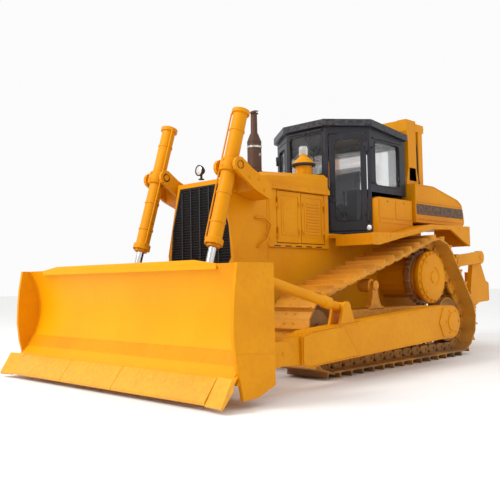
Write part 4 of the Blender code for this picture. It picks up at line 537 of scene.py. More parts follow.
def belt_places(middle_y):
    """Where each shoe sits: u along the belt, v across the machine, w outwards."""
    path = belt_path()
    spans = [(path[(i + 1) % len(path)] - path[i]).length for i in range(len(path))]
    pitch = sum(spans) / SHOES
    places = []
    for shoe in range(SHOES):
        left = (shoe + FIRST_SHOE) * pitch
        i = 0
        while left > spans[i]:
            left -= spans[i]
            i += 1
        along = (path[(i + 1) % len(path)] - path[i]).normalized()
        spot = path[i] + along * left
        places.append(Matrix((
            (along.x, 0, along.y, spot.x), (0, 1, 0, middle_y), (along.y, 0, -along.x, spot.y),
            (0, 0, 0, 1))))
    return places, pitch


for side_name, side in SIDES:
    places, pitch = belt_places(side * GAUGE)
    half = pitch / 2
    shoe = side_plate(
        [
            (-half + 0.004, -PLATE), (half + 0.002, -PLATE), (half + 0.006, -PLATE + 0.012),
            (half - 0.016, -0.002), (0.024, -0.002), (0.013, 0.012), (0.008, GROUSER), (-0.008, GROUSER),
            (-0.013, 0.012), (-0.024, -0.002), (-half + 0.004, -0.002), (-half - 0.012, -0.010)],
        -SHOE_HALF, SHOE_HALF)
    pieces = [shoe]
    for y in (-0.062, 0.062):
        # The link is a bone-shaped forging, cranked towards the next one.
        outline = arc(-half * 0.52, -0.070, 0.046, 90, 270, 8) + arc(half * 0.52, -0.070, 0.046, -90, 90, 8)
        pieces.append(side_plate(outline, y - 0.017, y + 0.017))
        pieces.append(side_plate(
            [(-half * 0.7, -0.06), (half * 0.7, -0.06), (half * 0.7, -0.02), (-half * 0.7, -0.02)],
            y - 0.024, y + 0.024))
    pieces.append(rod((-half * 0.52, -0.092, -0.070), (-half * 0.52, 0.092, -0.070), 0.024, 14))
    pieces.append(bolts(
        [(x, y, -0.003) for x in (-0.052, 0.052) for y in (-0.062, 0.062)], (0, 0, 1), 0.012, 0.010))
    track = copied(merged(pieces), places)
    for vertex in track.verts:
        vertex.co.z = max(vertex.co.z, 0.0)
    assemble(
        "track_chain_" + side_name, [track], track_iron, "tractor", ["track_" + side_name],
        edge=0)

# ---- Hood, engine doors and radiator guard ---------------------------------------------------
# Folded and welded sheet over the engine, with a stepped drip rail above two hinged leaves a side.
# The cast and plate guard ahead of it carries the grille, the lamps and the lift cylinders' yokes.
HOOD_REAR = 1.34
HOOD_FRONT = 2.46
DOOR_SPLIT = 1.87
DOOR_LOW, DOOR_HIGH = 1.49, 2.09
GUARD_FRONT = 3.05
soot_black = finish("ribbed_black_plastic", (0.018, 0.018, 0.020), (0.035, 0.034, 0.036), 0.45, bump=0.10)
dress("hood", enamel)
dress("radiator_guard", enamel, 0.006)


def outward(side, near, far):
    """Distances out from the middle of the machine, as low and high y."""
    return sorted((side * near, side * far))


def pressed_panel(x0, x1, y, side, z0, z1, corner=0.03, lift=0.006):
    """A raised field with rounded corners, as a press leaves in sheet."""
    outline = (
        arc(x1 - corner, z0 + corner, corner, -90, 0, 5) + arc(x1 - corner, z1 - corner, corner, 0, 90, 5)
        + arc(x0 + corner, z1 - corner, corner, 90, 180, 5)
        + arc(x0 + corner, z0 + corner, corner, 180, 270, 5))
    return side_plate(outline, *sorted((y, y + side * lift)))


hood_parts = []
for side_name, side in SIDES:
    # Two steps of drip rail, the ledge under the doors and the stiff edge of the front panel.
    hood_parts.append(block(
        HOOD_REAR + 0.004, HOOD_FRONT - 0.004, *outward(side, 0.49, 0.5345), 2.128, 2.158))
    hood_parts.append(block(
        HOOD_REAR + 0.004, HOOD_FRONT - 0.004, *outward(side, 0.49, 0.520), 2.158, 2.185))
    hood_parts.append(block(
        HOOD_REAR + 0.004, HOOD_FRONT - 0.004, *outward(side, 0.49, 0.512), 1.434, 1.462))
    hood_parts.append(pressed_panel(2.332, 2.440, side * 0.499, side, 1.50, 2.08, 0.02, 0.005))
    for x in (1.40, 1.75, 2.10, 2.40):
        hood_parts.append(bolts([(x, side * 0.5345, 2.143)], (0, side, 0), 0.009, 0.007))
    rail = [(2.70, side * 0.470, 1.74), (2.70, side * 0.545, 1.75), (2.56, side * 0.548, 1.755),
            (2.445, side * 0.545, 1.68), (2.53, side * 0.548, 1.50), (2.66, side * 0.548, 1.43),
            (2.67, side * 0.470, 1.42)]
    hood_parts.append(pipe(rail, 0.012, 0.05))
for x in (1.62, 1.98, 2.30):
    hood_parts.append(block(x, x + 0.012, -0.40, 0.40, 2.30, 2.352 - (x - HOOD_REAR) * 0.055))
assemble("hood_rails_and_ledges", hood_parts, enamel, "tractor")
# Black strips flush on the ledge stand for its slots: painted shade in the openings.
slot_shadows = []
for side_name, side in SIDES:
    for k in range(5):
        x = 1.50 + k * 0.19
        slot_shadows.append(block(x, x + 0.11, *outward(side, 0.505, 0.5135), 1.441, 1.455))
assemble("ledge_slot_shadows", slot_shadows, soot_black, "tractor", edge=0.001)

for side_name, side in SIDES:
    for leaf, x0, x1 in (("front", DOOR_SPLIT + 0.005, 2.30), ("rear", 1.43, DOOR_SPLIT - 0.005)):
        body = "engine_door_" + leaf + "_" + side_name
        skin = side * 0.4935
        parts = []
        if leaf == "rear":
            parts.append(pressed_panel(x0 + 0.062, x1 - 0.062, skin, side, 1.56, 2.02, 0.04, 0.004))
            for k in range(11):
                z = 1.595 + k * 0.037
                lip = [(z, 0.0035), (z + 0.024, 0.0035), (z + 0.006, 0.0115), (z, 0.010)]
                louvre = [(x0 + 0.095, skin + side * y, z) for z, y in lip]
                parts.append(prism(louvre, (x1 - x0 - 0.19, 0, 0)))
        else:
            parts.append(pressed_panel(x0 + 0.075, x1 - 0.075, skin, side, 1.575, 2.005, 0.03, 0.005))
            parts.append(pressed_panel(
                x0 + 0.105, x1 - 0.105, skin + side * 0.004, side, 1.605, 1.975, 0.02, 0.004))
        latch_x = x0 + 0.03 if leaf == "front" else x1 - 0.03
        for z in (1.62, 1.95):
            parts.append(block(
                latch_x - 0.013, latch_x + 0.013, *outward(side, 0.498, 0.508), z - 0.03, z + 0.03))
            parts.append(rod((latch_x, side * 0.506, z), (latch_x, side * 0.514, z), 0.009, 16))
        hinge_x = x1 - 0.032 if leaf == "front" else x0 + 0.032
        spots = [(hinge_x, side * 0.499, z) for z in (1.66, 1.70, 1.88, 2.01)]
        parts.append(bolts(spots, (0, side, 0), 0.006, 0.005))
        dress(body, enamel, 0.003)
        assemble(body + "_pressings", parts, enamel, body, edge=0.0015)

# ---- Grille ----------------------------------------------------------------------------------
# Pressed steel louvres behind upright bars in a round-bar rim, all sprayed black. The frame is
# bolted into the guard's mouth, which narrows towards the top.
GRILLE_HALVES = ((0.33, 2.12), (0.47, 1.65), (0.50, 1.30), (0.43, 1.20))


def grille_half(z):
    """Half the mouth's width at height z."""
    for (y1, z1), (y0, z0) in zip(GRILLE_HALVES, GRILLE_HALVES[1:]):
        if z0 <= z <= z1:
            return y0 + (y1 - y0) * (z - z0) / (z1 - z0)
    return GRILLE_HALVES[-1][0]


LOUVRES = 30
LOUVRE_LOW, LOUVRE_HIGH = 1.225, 2.095
parts = []
for k in range(LOUVRES):
    z = LOUVRE_LOW + k * (LOUVRE_HIGH - LOUVRE_LOW) / (LOUVRES - 1)
    half = grille_half(z) - 0.014
    slat = [
        (GUARD_FRONT - 0.030, z - 0.010), (GUARD_FRONT - 0.026, z - 0.013),
        (GUARD_FRONT - 0.004, z + 0.010), (GUARD_FRONT - 0.008, z + 0.013)]
    parts.append(side_plate(slat, -half, half))
for y in (-0.30, -0.15, 0.0, 0.15, 0.30):
    top = 2.10 if abs(y) < 0.2 else 2.08
    parts.append(block(GUARD_FRONT - 0.026, GUARD_FRONT - 0.001, y - 0.008, y + 0.008, 1.21, top))
rim = [(y, z) for y, z in GRILLE_HALVES] + [(-y, z) for y, z in reversed(GRILLE_HALVES)]
rim_path = [(GUARD_FRONT - 0.012, y * 0.985, 1.2 + (z - 1.2) * 0.99 + 0.004) for y, z in rim]
parts.append(pipe(rim_path + [rim_path[0]], 0.010, 0.02, 8))
# A black sheet across the whole mouth behind the louvres: painted shade for the dark space behind the
# grille.
parts.append(front_plate([(y * 0.99, z) for y, z in rim], GUARD_FRONT - 0.0298, GUARD_FRONT - 0.027))
assemble(
    "grille_louvres_and_bars", parts, soot_black, "tractor", ["radiator_grille"],
    edge=0.001)

# ---- Guard trim ------------------------------------------------------------------------------
# Turned steel bosses welded round the lift cylinders' pins on the guard's ears, the bolts that hold
# the guard's side plates, and the weld down the joint with the hood.
YOKE = (3.157, 2.26)
LIFT_Y = 0.605
parts = []
for side_name, side in SIDES:
    y = side * LIFT_Y
    for reach in (-1, 1):
        face = y + reach * 0.165
        parts.append(turned(
            [(0.0361, -0.002), (0.060, -0.002), (0.060, 0.012), (0.050, 0.018), (0.0361, 0.018)],
            at(YOKE, face - reach * 0.018), (0, reach, 0)))
    spots = [(x, side * 0.7705, z) for x, z in ((2.80, 2.02), (2.88, 2.13), (3.02, 2.14))]
    parts.append(bolts(spots, (0, side, 0), 0.012, 0.010))
    spots = [(2.53, side * 0.5005, z) for z in (1.18, 1.38, 1.58, 1.78, 1.98, 2.18)]
    parts.append(bolts(spots, (0, side, 0), 0.011, 0.009))
    parts.append(pipe([(2.474, side * 0.5015, 1.12), (2.474, side * 0.5015, 2.23)], 0.006, sides=8))
assemble("guard_bosses_and_bolts", parts, enamel, "tractor", edge=0.002)

# ---- Lamps -----------------------------------------------------------------------------------
# Round sealed work lamps in black plastic shells with fluted lenses, each on a short post with a
# round foot: two on the guard, one on each fender, two behind the cross beam.
lamp_glass = finish(
    "fluted_lamp_glass", (0.86, 0.88, 0.88), (0.70, 0.73, 0.74), 0.12, metallic=0.35, grain=160.0,
    bump=0.30)


def lamp(name, spot, aim, radius, post=0.06):
    """A bezel, a shell behind it, and a lens that bulges a little."""
    shell = turned(
        [
            (0, -radius * 0.95), (radius * 0.55, -radius * 0.90), (radius * 0.95, -radius * 0.35),
            (radius, 0), (radius * 1.06, 0.004), (radius * 1.06, 0.016), (radius * 0.92, 0.020),
            (radius * 0.90, 0.006), (0, 0.006)],
        spot, aim)
    foot = Vector(spot) - Vector(aim).normalized() * radius * 0.4
    stem = rod(foot - Vector((0, 0, radius + post)), foot - Vector((0, 0, radius * 0.7)), 0.014, 14)
    base = rod(
        foot - Vector((0, 0, radius + post)), foot - Vector((0, 0, radius + post - 0.012)), 0.035, 20)
    assemble(name + "_shell", [shell, stem, base], soot_black, "tractor", edge=0.002)
    lens = turned(
        [(radius * 0.905, 0.007), (radius * 0.80, 0.013), (radius * 0.5, 0.018), (0, 0.020)], spot, aim)
    assemble(name + "_lens", [lens], lamp_glass, "tractor", edge=0)


lamp("guard_lamp_right", (2.86, -0.20, 2.345), (1, -0.05, 0.02), 0.062, 0.045)
lamp("guard_lamp_left", (2.82, 0.36, 2.255), (1, 0.15, 0.0), 0.045, 0.03)

# ---- Exhaust and air cleaner -----------------------------------------------------------------
# A heat-browned muffler with a clamp band and a thin capped tailpipe. Behind it stands a spun
# yellow precleaner with a rubber rim, a cone and a clear dust bowl.
heat_brown = finish(
    "heat_browned_muffler_steel", (0.075, 0.040, 0.030), (0.13, 0.065, 0.04), 0.62, metallic=0.4,
    bump=0.15)
STACK = (2.40, 0.25, 2.3108)
parts = [
    turned(
        [
            (0, 0), (0.094, 0), (0.094, 0.018), (0.083, 0.026), (0.083, 0.37), (0.075, 0.39),
            (0.050, 0.455), (0.040, 0.47), (0.038, 0.70), (0.0385, 0.712), (0.033, 0.712), (0.033, 0.66),
            (0, 0.66)],
        STACK, (0, 0, 1), 48),
    turned(
        [(0, 0), (0.055, 0), (0.058, 0.010), (0.03, 0.022), (0, 0.026)], (2.40, 0.25, 3.025),
        (0.35, 0, 1)),
    rod((2.353, 0.232, 3.02), (2.353, 0.268, 3.02), 0.012, 14)]
for z in (2.36, 2.66):
    parts.append(turned(
        [(0.083, 0), (0.0855, 0.001), (0.0855, 0.010), (0.083, 0.011)], (2.40, 0.25, z), (0, 0, 1), 48))
assemble(
    "muffler_and_tailpipe", parts, heat_brown, "tractor", ["exhaust_stack"], edge=0.002)
clamp = [
    turned(
        [(0.0835, 0), (0.087, 0.001), (0.087, 0.024), (0.0835, 0.025)], (2.40, 0.25, 2.60), (0, 0, 1),
        48),
    block(2.478, 2.494, 0.238, 0.262, 2.603, 2.622),
    pipe(
        [(2.39, 0.332, 2.50), (2.39, 0.344, 2.53), (2.41, 0.344, 2.53), (2.41, 0.332, 2.50)], 0.004, 0.01,
        8)]
bright_steel = finish("zinc_plated_steel", (0.62, 0.60, 0.56), (0.42, 0.39, 0.35), 0.32, metallic=0.9)
assemble("muffler_clamp", clamp, bright_steel, "tractor", edge=0.001)
CLEANER = (1.50, 0.25, 2.367)
parts = [
    turned(
        [
            (0, 0), (0.108, 0), (0.108, 0.010), (0.100, 0.014), (0.100, 0.105), (0.106, 0.110),
            (0.106, 0.122), (0, 0.122)],
        CLEANER, (0, 0, 1), 48),
    turned(
        [(0.148, 0.140), (0.150, 0.150), (0.066, 0.232), (0.052, 0.238), (0.050, 0.262), (0, 0.262)],
        CLEANER, (0, 0, 1), 48)]
for k in range(8):
    a = 2 * math.pi * k / 8
    parts.append(rod((1.50 + 0.101 * math.cos(a), 0.25 + 0.101 * math.sin(a), 2.384),
                     (1.50 + 0.101 * math.cos(a), 0.25 + 0.101 * math.sin(a), 2.468), 0.006, 10))
assemble(
    "precleaner_base_and_cone", parts, enamel, "tractor", ["air_precleaner"], edge=0.002)
rubber = finish(
    "weathered_rubber", (0.022, 0.021, 0.021), (0.045, 0.042, 0.040), 0.72, grain=140.0, bump=0.10)
rim = turned(
    [(0.105, 0.116), (0.146, 0.118), (0.154, 0.128), (0.154, 0.142), (0.148, 0.151), (0.105, 0.140)],
    CLEANER, (0, 0, 1), 48)
assemble("precleaner_rim", [rim], rubber, "tractor", edge=0)
smoked = finish("clear_dust_bowl", (0.80, 0.80, 0.78), (0.62, 0.58, 0.50), 0.15, bump=0.02)
socket(smoked.node_tree.nodes["Principled BSDF"], "Transmission Weight", 0.6)
bowl = turned([(0.052, 0.262), (0.056, 0.268), (0.057, 0.340), (0.050, 0.368), (0.020, 0.379), (0, 0.380)],
              CLEANER, (0, 0, 1), 48)
assemble("precleaner_bowl", [bowl], smoked, "tractor", edge=0)

# ---- Fenders and side boxes ------------------------------------------------------------------
# Plate fenders over the tracks carry the battery box and the hydraulic tank. Their top is
# chequered to stand on, and a rolled edge stiffens the skirt.
FENDER_OUT = 1.15
FENDER_TOP = ((1.335, 1.60), (0.62, 1.62), (-0.02, 1.76), (-1.13, 1.78))
FENDER_SKIRT = (
    (-1.132, 1.50), (-0.91, 1.58), (-0.58, 1.72), (-0.11, 1.70), (0.74, 1.55), (1.19, 1.46),
    (1.337, 1.46))
BOX_TOP = 2.10


def fender_height(x):
    for (x1, z1), (x0, z0) in zip(FENDER_TOP, FENDER_TOP[1:]):
        if x0 <= x <= x1:
            return z0 + (z1 - z0) * (x - x0) / (x1 - x0)
    return FENDER_TOP[-1][1]


tread_paint = finish(
    "chequered_step_enamel", (0.80, 0.34, 0.010), (0.50, 0.20, 0.02), 0.6, worn=(0.30, 0.24, 0.19),
    wear=0.9)
for side_name, side in SIDES:
    under = [(x, z - 0.035) for x, z in reversed(FENDER_TOP)]
    parts = [side_plate(list(FENDER_TOP) + under, *outward(side, 0.481, 1.14))]
    rim = [(1.337, 1.602), (0.62, 1.622), (-0.02, 1.762), (-1.132, 1.782)]
    parts.append(side_plate(rim + list(FENDER_SKIRT), *outward(side, 1.118, FENDER_OUT)))
    parts.append(block(-1.129, -1.095, *outward(side, 0.60, 1.13), 1.502, 1.77))
    parts.append(block(1.300, 1.334, *outward(side, 0.60, 1.13), 1.462, 1.59))
    edge_path = [(x, side * 1.143, z - 0.004) for x, z in rim]
    parts.append(pipe(edge_path, 0.007, 0.02, 8))
    low_path = [(x, side * 1.143, z + 0.006) for x, z in FENDER_SKIRT]
    parts.append(pipe(low_path, 0.0065, 0.02, 8))
    spots = [
        (x, side * FENDER_OUT, fender_height(x) - 0.030)
        for x in (-1.05, -0.80, -0.45, 0.25, 0.60, 0.95, 1.26)]
    parts.append(bolts(spots, (0, side, 0), 0.010, 0.006))
    assemble(
        "fender_plates_" + side_name, parts, enamel, "tractor", ["fender_" + side_name])
    bars = []
    for row in range(9):
        x = 0.86 + row * 0.052
        for column in range(7):
            y = side * (0.56 + column * 0.085)
            turn = math.radians(45 if (row + column) % 2 else -45)
            bar = block(-0.017, 0.017, -0.0035, 0.0035, 0.0, 0.0022)
            bar.transform(Matrix.Translation((x, y, fender_height(x))) @ Matrix.Rotation(turn, 4, "Z"))
            bars.append(bar)
    assemble("step_chequer_" + side_name, bars, tread_paint, "tractor", edge=0)
    lamp("fender_lamp_" + side_name, (1.305, side * 1.090, 1.665), (1, side * 0.12, 0), 0.040, 0.022)

for (side_name, side), node in zip(SIDES, ("battery_box", "hydraulic_tank")):
    foot = [(x, fender_height(x) + 0.0003) for x in (-0.04, -0.02, 0.62, 0.79)]
    parts = [side_plate(foot + [(0.79, 2.06), (0.775, 2.088), (0.75, BOX_TOP), (-0.04, BOX_TOP)],
                        *outward(side, 0.49, 0.872))]
    face = side * 0.872
    if side > 0:
        for x0, x1 in ((-0.02, 0.375), (0.395, 0.765)):
            parts.append(pressed_panel(x0, x1, face, side, 1.83, 2.075, 0.02, 0.006))
        parts.append(pressed_panel(0.02, 0.765, face, side, 1.77, 1.815, 0.012, 0.005))
        for x in (0.18, 0.57):
            parts.append(block(x - 0.022, x + 0.022, *outward(side, 0.874, 0.8795), 2.035, 2.068))
    else:
        parts.append(pressed_panel(-0.01, 0.765, face, side, 1.80, 2.06, 0.04, 0.005))
        parts.append(bolts([(x, side * 0.877, z) for x in (0.03, 0.25, 0.50, 0.73) for z in (1.83, 2.03)],
                           (0, side, 0), 0.010, 0.003))
    parts.append(block(-0.035, 0.770, *outward(side, 0.50, 0.862), BOX_TOP - 0.004, BOX_TOP))
    assemble(node + "_sheet", parts, enamel, "tractor", [node], edge=0.003)
latches = []
for x in (0.18, 0.57):
    latches.append(block(x - 0.010, x + 0.010, 0.876, 0.8798, 2.040, 2.063))
assemble("box_latches", latches, soot_black, "tractor", edge=0.001)

# ---- Fuel tank -------------------------------------------------------------------------------
# A welded tank across the rear, rounded behind, with pressed ledges, a filler cap and a breather,
# and a plain black band painted round its sides and back.
TANK_HALF = 0.92
TANK_OUTLINE = ((-0.06, 1.81), (-0.06, 2.34), (-0.55, 2.34), (-1.25, 2.20), (-1.36, 2.14), (-1.42, 1.98),
                (-1.43, 1.85), (-1.39, 1.81))


def inset_tank(by):
    """The tank's side outline, drawn in all round."""
    return [
        (
            x + (by if x < -1.2 else -by if x > -0.1 else 0),
            z + (by if z < 1.9 else -by if z > 2.0 else 0)) for x,
        z in TANK_OUTLINE]


band_black = finish(
    "satin_black_band_paint", (0.014, 0.013, 0.014), (0.030, 0.028, 0.028), 0.42, worn=YELLOW_DEEP,
    wear=0.4)
parts = [side_plate(inset_tank(0.0), -TANK_HALF + 0.010, TANK_HALF - 0.010),
         side_plate([(-0.99, 1.631), (-0.10, 1.631), (-0.10, 1.85), (-0.99, 1.85)], -0.44, 0.44)]
for side_name, side in SIDES:
    # The end plate is dished between a top and a bottom ledge.
    for z0, z1 in ((1.86, 1.895), (2.095, 2.125)):
        parts.append(block(-1.37, -0.075, *outward(side, 0.908, 0.9195), z0, z1))
    rim = [(x, side * 0.910, z) for x, z in inset_tank(0.008)]
    parts.append(pipe(rim + [rim[0]], 0.009, 0.03, 8))
for x, y in ((-0.75, 0.45), (-0.75, -0.45)):
    top = 2.34 - 0.2 * (-0.55 - x)
    parts.append(turned(
        [
            (0, -0.04), (0.060, -0.04), (0.060, 0.010), (0.050, 0.016), (0.050, 0.040), (0.042, 0.048),
            (0, 0.048)],
        (x, y, top), (-0.19, 0, 1), 32))
    parts.append(block(x - 0.04, x + 0.04, y - 0.008, y + 0.008, top + 0.040, top + 0.060))
parts.append(pipe(
    [(-0.30, 0.60, 2.335), (-0.30, 0.60, 2.41), (-0.36, 0.60, 2.43), (-0.36, 0.60, 2.38)], 0.012, 0.03))
assemble("fuel_tank_sheet", parts, enamel, "tractor", ["fuel_tank"], edge=0.006)
band = []
for side_name, side in SIDES:
    band.append(block(-1.395, -0.064, *outward(side, 0.905, 0.9175), 1.925, 2.065))
band.append(side_plate([(-1.4245, 1.925), (-1.4165, 1.925), (-1.385, 2.065), (-1.393, 2.065)], -0.90, 0.90))
assemble("tank_band", band, band_black, "tractor", edge=0.002)
hoses = []
for side_name, side in SIDES:
    hoses.append(pipe(
        [
            (-0.02, side * 0.70, 2.06), (-0.045, side * 0.70, 2.20), (-0.12, side * 0.70, 2.352),
            (-0.40, side * 0.62, 2.362), (-0.70, side * 0.58, 2.325), (-0.95, side * 0.58, 2.272)],
        0.011, 0.08))
    hoses.append(pipe(
        [
            (-0.365, side * 0.815, 2.30), (-0.355, side * 0.79, 2.50), (-0.36, side * 0.785, 2.85),
            (-0.34, side * 0.76, 3.05)],
        0.009, 0.08))
assemble("rear_hoses_and_lamp_cable", hoses, rubber, "tractor", edge=0)

# ---- Cab -------------------------------------------------------------------------------------
# A pressed and welded cab with glass on every side, finished in dark grey-blue. Its door planes
# slant to a narrow nose. Rubber strips hold the glass; rails, rain lips and wipers are bolted on.
CAB_DARK = (0.013, 0.0135, 0.020)
cab_paint = finish(
    "dark_cab_enamel", CAB_DARK, (0.026, 0.027, 0.036), 0.38, worn=(0.20, 0.18, 0.17), wear=0.25)
glass_clear = finish("window_glass", (0.90, 0.93, 0.94), (0.86, 0.90, 0.91), 0.09, bump=0.01)
glass_shader = glass_clear.node_tree.nodes["Principled BSDF"]
socket(glass_shader, "Transmission Weight", 1.0)
socket(glass_shader, "IOR", 1.45)
socket(glass_shader, "Alpha", 0.45)
dress("cab_shell", cab_paint, 0.005)
dress("cab_roof", cab_paint, 0.014)
for node in (
    "windshield", "rear_glass", "side_glass_left", "side_glass_right", "door_glass_left",
    "door_glass_right"):
    dress(node, glass_clear, 0)
CAB_FRONT = 1.15
CAB_HALF = 0.79
CAB_NOSE = 0.33
PILLAR = 0.82
DOOR_WIDE = math.hypot(CAB_FRONT - PILLAR, CAB_HALF - CAB_NOSE)


def rounded_loop(a0, a1, b0, b1, radius, steps=6):
    """A closed rectangle with round corners in two coordinates."""
    return (
        arc(a1 - radius, b0 + radius, radius, -90, 0, steps)
        + arc(a1 - radius, b1 - radius, radius, 0, 90, steps)
        + arc(a0 + radius, b1 - radius, radius, 90, 180, steps)
        + arc(a0 + radius, b0 + radius, radius, 180, 270, steps))


def on_door(side, u, z, out):
    """A point on a door plane: u forward from the pillar, out proud of the skin."""
    along = Vector((CAB_FRONT - PILLAR, side * (CAB_NOSE - CAB_HALF), 0)).normalized()
    normal = Vector((-along.y * side, along.x * side, 0))
    return Vector((PILLAR, side * CAB_HALF, z)) + along * u + normal * out


seals = []
for side_name, side in SIDES:
    loop = [Vector((a, side * 0.788, b)) for a, b in rounded_loop(0.122, 0.708, 2.262, 2.838, 0.055)]
    seals.append(pipe(loop + [loop[0]], 0.0095, 0.01, 8))
loop = [Vector((-0.017, a, b)) for a, b in rounded_loop(-0.558, 0.558, 2.262, 2.838, 0.055)]
seals.append(pipe(loop + [loop[0]], 0.0095, 0.01, 8))
loop = [Vector((1.148, a, b)) for a, b in rounded_loop(-0.278, 0.278, 2.422, 2.968, 0.035)]
seals.append(pipe(loop + [loop[0]], 0.0095, 0.01, 8))
assemble("window_rubbers", seals, rubber, "tractor", edge=0)

trim = []
for side_name, side in SIDES:
    # Rain lip over the side window, bolted seam below it and two grab rails.
    trim.append(block(0.06, 0.76, *outward(side, 0.785, 0.806), 2.868, 2.880))
    spots = [(x, side * 0.7895, 2.205) for x in (0.04, 0.24, 0.44, 0.64)]
    trim.append(bolts(spots, (0, side, 0), 0.009, 0.006))
    trim.append(pipe([(0.765, side * 0.785, 2.28), (0.765, side * 0.825, 2.29), (0.765, side * 0.825, 2.74),
                      (0.765, side * 0.785, 2.75)], 0.011, 0.04))
    trim.append(pipe([on_door(side, 0.548, 1.78, -0.01), on_door(side, 0.548, 1.79, 0.045),
                      on_door(side, 0.548, 2.50, 0.045), on_door(side, 0.548, 2.51, -0.01)], 0.011, 0.04))
    trim.append(pipe(
        [(-0.018, side * 0.62, 2.868), (-0.030, side * 0.62, 2.868), (-0.030, side * 0.75, 2.868)], 0.008,
        0.01))
# A bolted plate above the windshield, and the blank vents under it.
trim.append(front_plate([(-0.29, 2.995), (0.29, 2.995), (0.29, 3.012), (-0.29, 3.012)], 1.148, 1.168))
for k in range(5):
    z = 2.215 + k * 0.026
    trim.append(prism(
        [(1.149, -0.20, z), (1.160, -0.20, z + 0.004), (1.149, -0.20, z + 0.016)], (0, 0.40, 0)))
assemble("cab_trim_and_rails", trim, cab_paint, "tractor", edge=0.002)

roof_bits = []
for side_name, side in SIDES:
    for x in (0.10, 0.45, 0.80):
        z = 3.005 + 0.10 * (x + 0.02)
        roof_bits.append(bolts([(x, side * 0.74, z + 0.002)], (-0.1, 0, 1), 0.011, 0.008))
vent = plan_plate(rounded_loop(0.22, 0.72, -0.28, 0.28, 0.05), 3.02, 3.075)
roof_bits.append(vent)
roof_bits.append(pipe(
    [(1.13, -0.40, 3.03), (1.20, -0.30, 3.045), (1.20, 0.30, 3.045), (1.13, 0.40, 3.03)], 0.007, 0.03))
assemble("roof_hatch_and_bolts", roof_bits, cab_paint, "tractor", edge=0.008)
wiper = [
    pipe(
        [(1.152, 0.0, 2.975), (1.172, 0.0, 2.972), (1.170, 0.09, 2.80), (1.168, 0.17, 2.60)], 0.0055,
        0.02, 8),
    pipe([(1.160, 0.11, 2.56), (1.160, 0.20, 2.78)], 0.007, 0.02, 8),
    rod((1.150, 0.0, 2.975), (1.178, 0.0, 2.975), 0.016, 20)]
assemble("windshield_wiper", wiper, soot_black, "tractor", edge=0)

for side_name, side in SIDES:
    body = "cab_door_" + side_name
    dress(body, cab_paint, 0.005)
    window = [on_door(side, a, b, -0.002) for a, b in
              rounded_loop(0.045 + 0.069, DOOR_WIDE - 0.045 - 0.069, 1.799, 2.861, 0.056)]
    assemble(
        body + "_rubber", [pipe(window + [window[0]], 0.0085, 0.01, 8)], rubber, body,
        edge=0)
    parts = []
    for z in (1.85, 2.75):
        barrel = on_door(side, 0.040, z - 0.006, 0.018)
        parts.append(rod(barrel + Vector((0, 0, 0.010)), barrel + Vector((0, 0, 0.072)), 0.0165, 20))
    handle = [on_door(side, DOOR_WIDE - 0.082, 2.12, 0.0), on_door(side, DOOR_WIDE - 0.082, 2.12, 0.034),
              on_door(side, DOOR_WIDE - 0.082, 2.30, 0.034), on_door(side, DOOR_WIDE - 0.082, 2.30, 0.0)]
    parts.append(pipe(handle, 0.009, 0.02))
    lock = on_door(side, DOOR_WIDE - 0.082, 2.06, 0.0)
    parts.append(turned([(0, 0), (0.020, 0), (0.020, 0.008), (0.012, 0.014), (0, 0.014)], lock,
                        on_door(side, 0, 0, 1) - on_door(side, 0, 0, 0)))
    bumps = [on_door(side, u, z, 0.0) for u in (0.070, DOOR_WIDE - 0.070) for z in (1.70, 1.745)]
    parts.append(bolts(bumps, on_door(side, 0, 0, 1) - on_door(side, 0, 0, 0), 0.008, 0.006))
    assemble(body + "_handle_and_hinges", parts, soot_black, body, edge=0.001)

# ---- Seat and controls -----------------------------------------------------------------------
# A seat with foam pads sewn in grey cloth, on a bellows over its springs. A moulded console ahead
# of it carries four gauges, with levers and two pedals beside it.
seat_cloth = finish(
    "woven_grey_seat_cloth", (0.105, 0.105, 0.115), (0.070, 0.070, 0.078), 0.88, grain=420.0, bump=0.35)
socket(seat_cloth.node_tree.nodes["Principled BSDF"], "Sheen Weight", 0.4)


def swollen(obj, cap):
    """Blows the pad up like foam under cloth, with no point moved further than the cap."""
    remesh = obj.modifiers.new("skin", "REMESH")
    remesh.mode = "VOXEL"
    remesh.voxel_size = 0.012
    depsgraph = bpy.context.evaluated_depsgraph_get()
    skin = bpy.data.meshes.new_from_object(obj.evaluated_get(depsgraph))
    obj.modifiers.clear()
    obj.data = skin
    before = [v.co.copy() for v in skin.vertices]
    cloth = obj.modifiers.new("foam", "CLOTH")
    cloth.settings.use_pressure = True
    cloth.settings.uniform_pressure_force = 4.0
    cloth.settings.effector_weights.gravity = 0.0
    cloth.settings.quality = 5
    for step in range(1, 15):
        bpy.context.scene.frame_set(step)
    depsgraph = bpy.context.evaluated_depsgraph_get()
    puffed = bpy.data.meshes.new_from_object(obj.evaluated_get(depsgraph))
    obj.modifiers.clear()
    for vertex, start in zip(puffed.vertices, before):
        moved = vertex.co - start
        if moved.length > cap:
            vertex.co = start + moved.normalized() * cap
    obj.data = puffed
    bpy.context.scene.frame_set(1)


def pad(name, shape, cap=0.014):
    """One sewn cushion that rides with the seat."""
    mesh = bpy.data.meshes.new(name)
    bmesh.ops.translate(shape, vec=(AXLE_X, 0, 0), verts=shape.verts)
    shape.to_mesh(mesh)
    shape.free()
    obj = bpy.data.objects.new(name, mesh)
    bpy.context.scene.collection.objects.link(obj)
    rounding = obj.modifiers.new("edges", "BEVEL")
    rounding.width = 0.024
    rounding.segments = 4
    depsgraph = bpy.context.evaluated_depsgraph_get()
    rounded = bpy.data.meshes.new_from_object(obj.evaluated_get(depsgraph))
    obj.modifiers.clear()
    obj.data = rounded
    swollen(obj, cap)
    smooth = obj.modifiers.new("smooth", "SUBSURF")
    smooth.levels = 1
    smooth.render_levels = 1
    obj.data.materials.clear()
    obj.data.materials.append(seat_cloth)
    shaded(obj.data, 80)
    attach(obj, "tractor")
    return obj


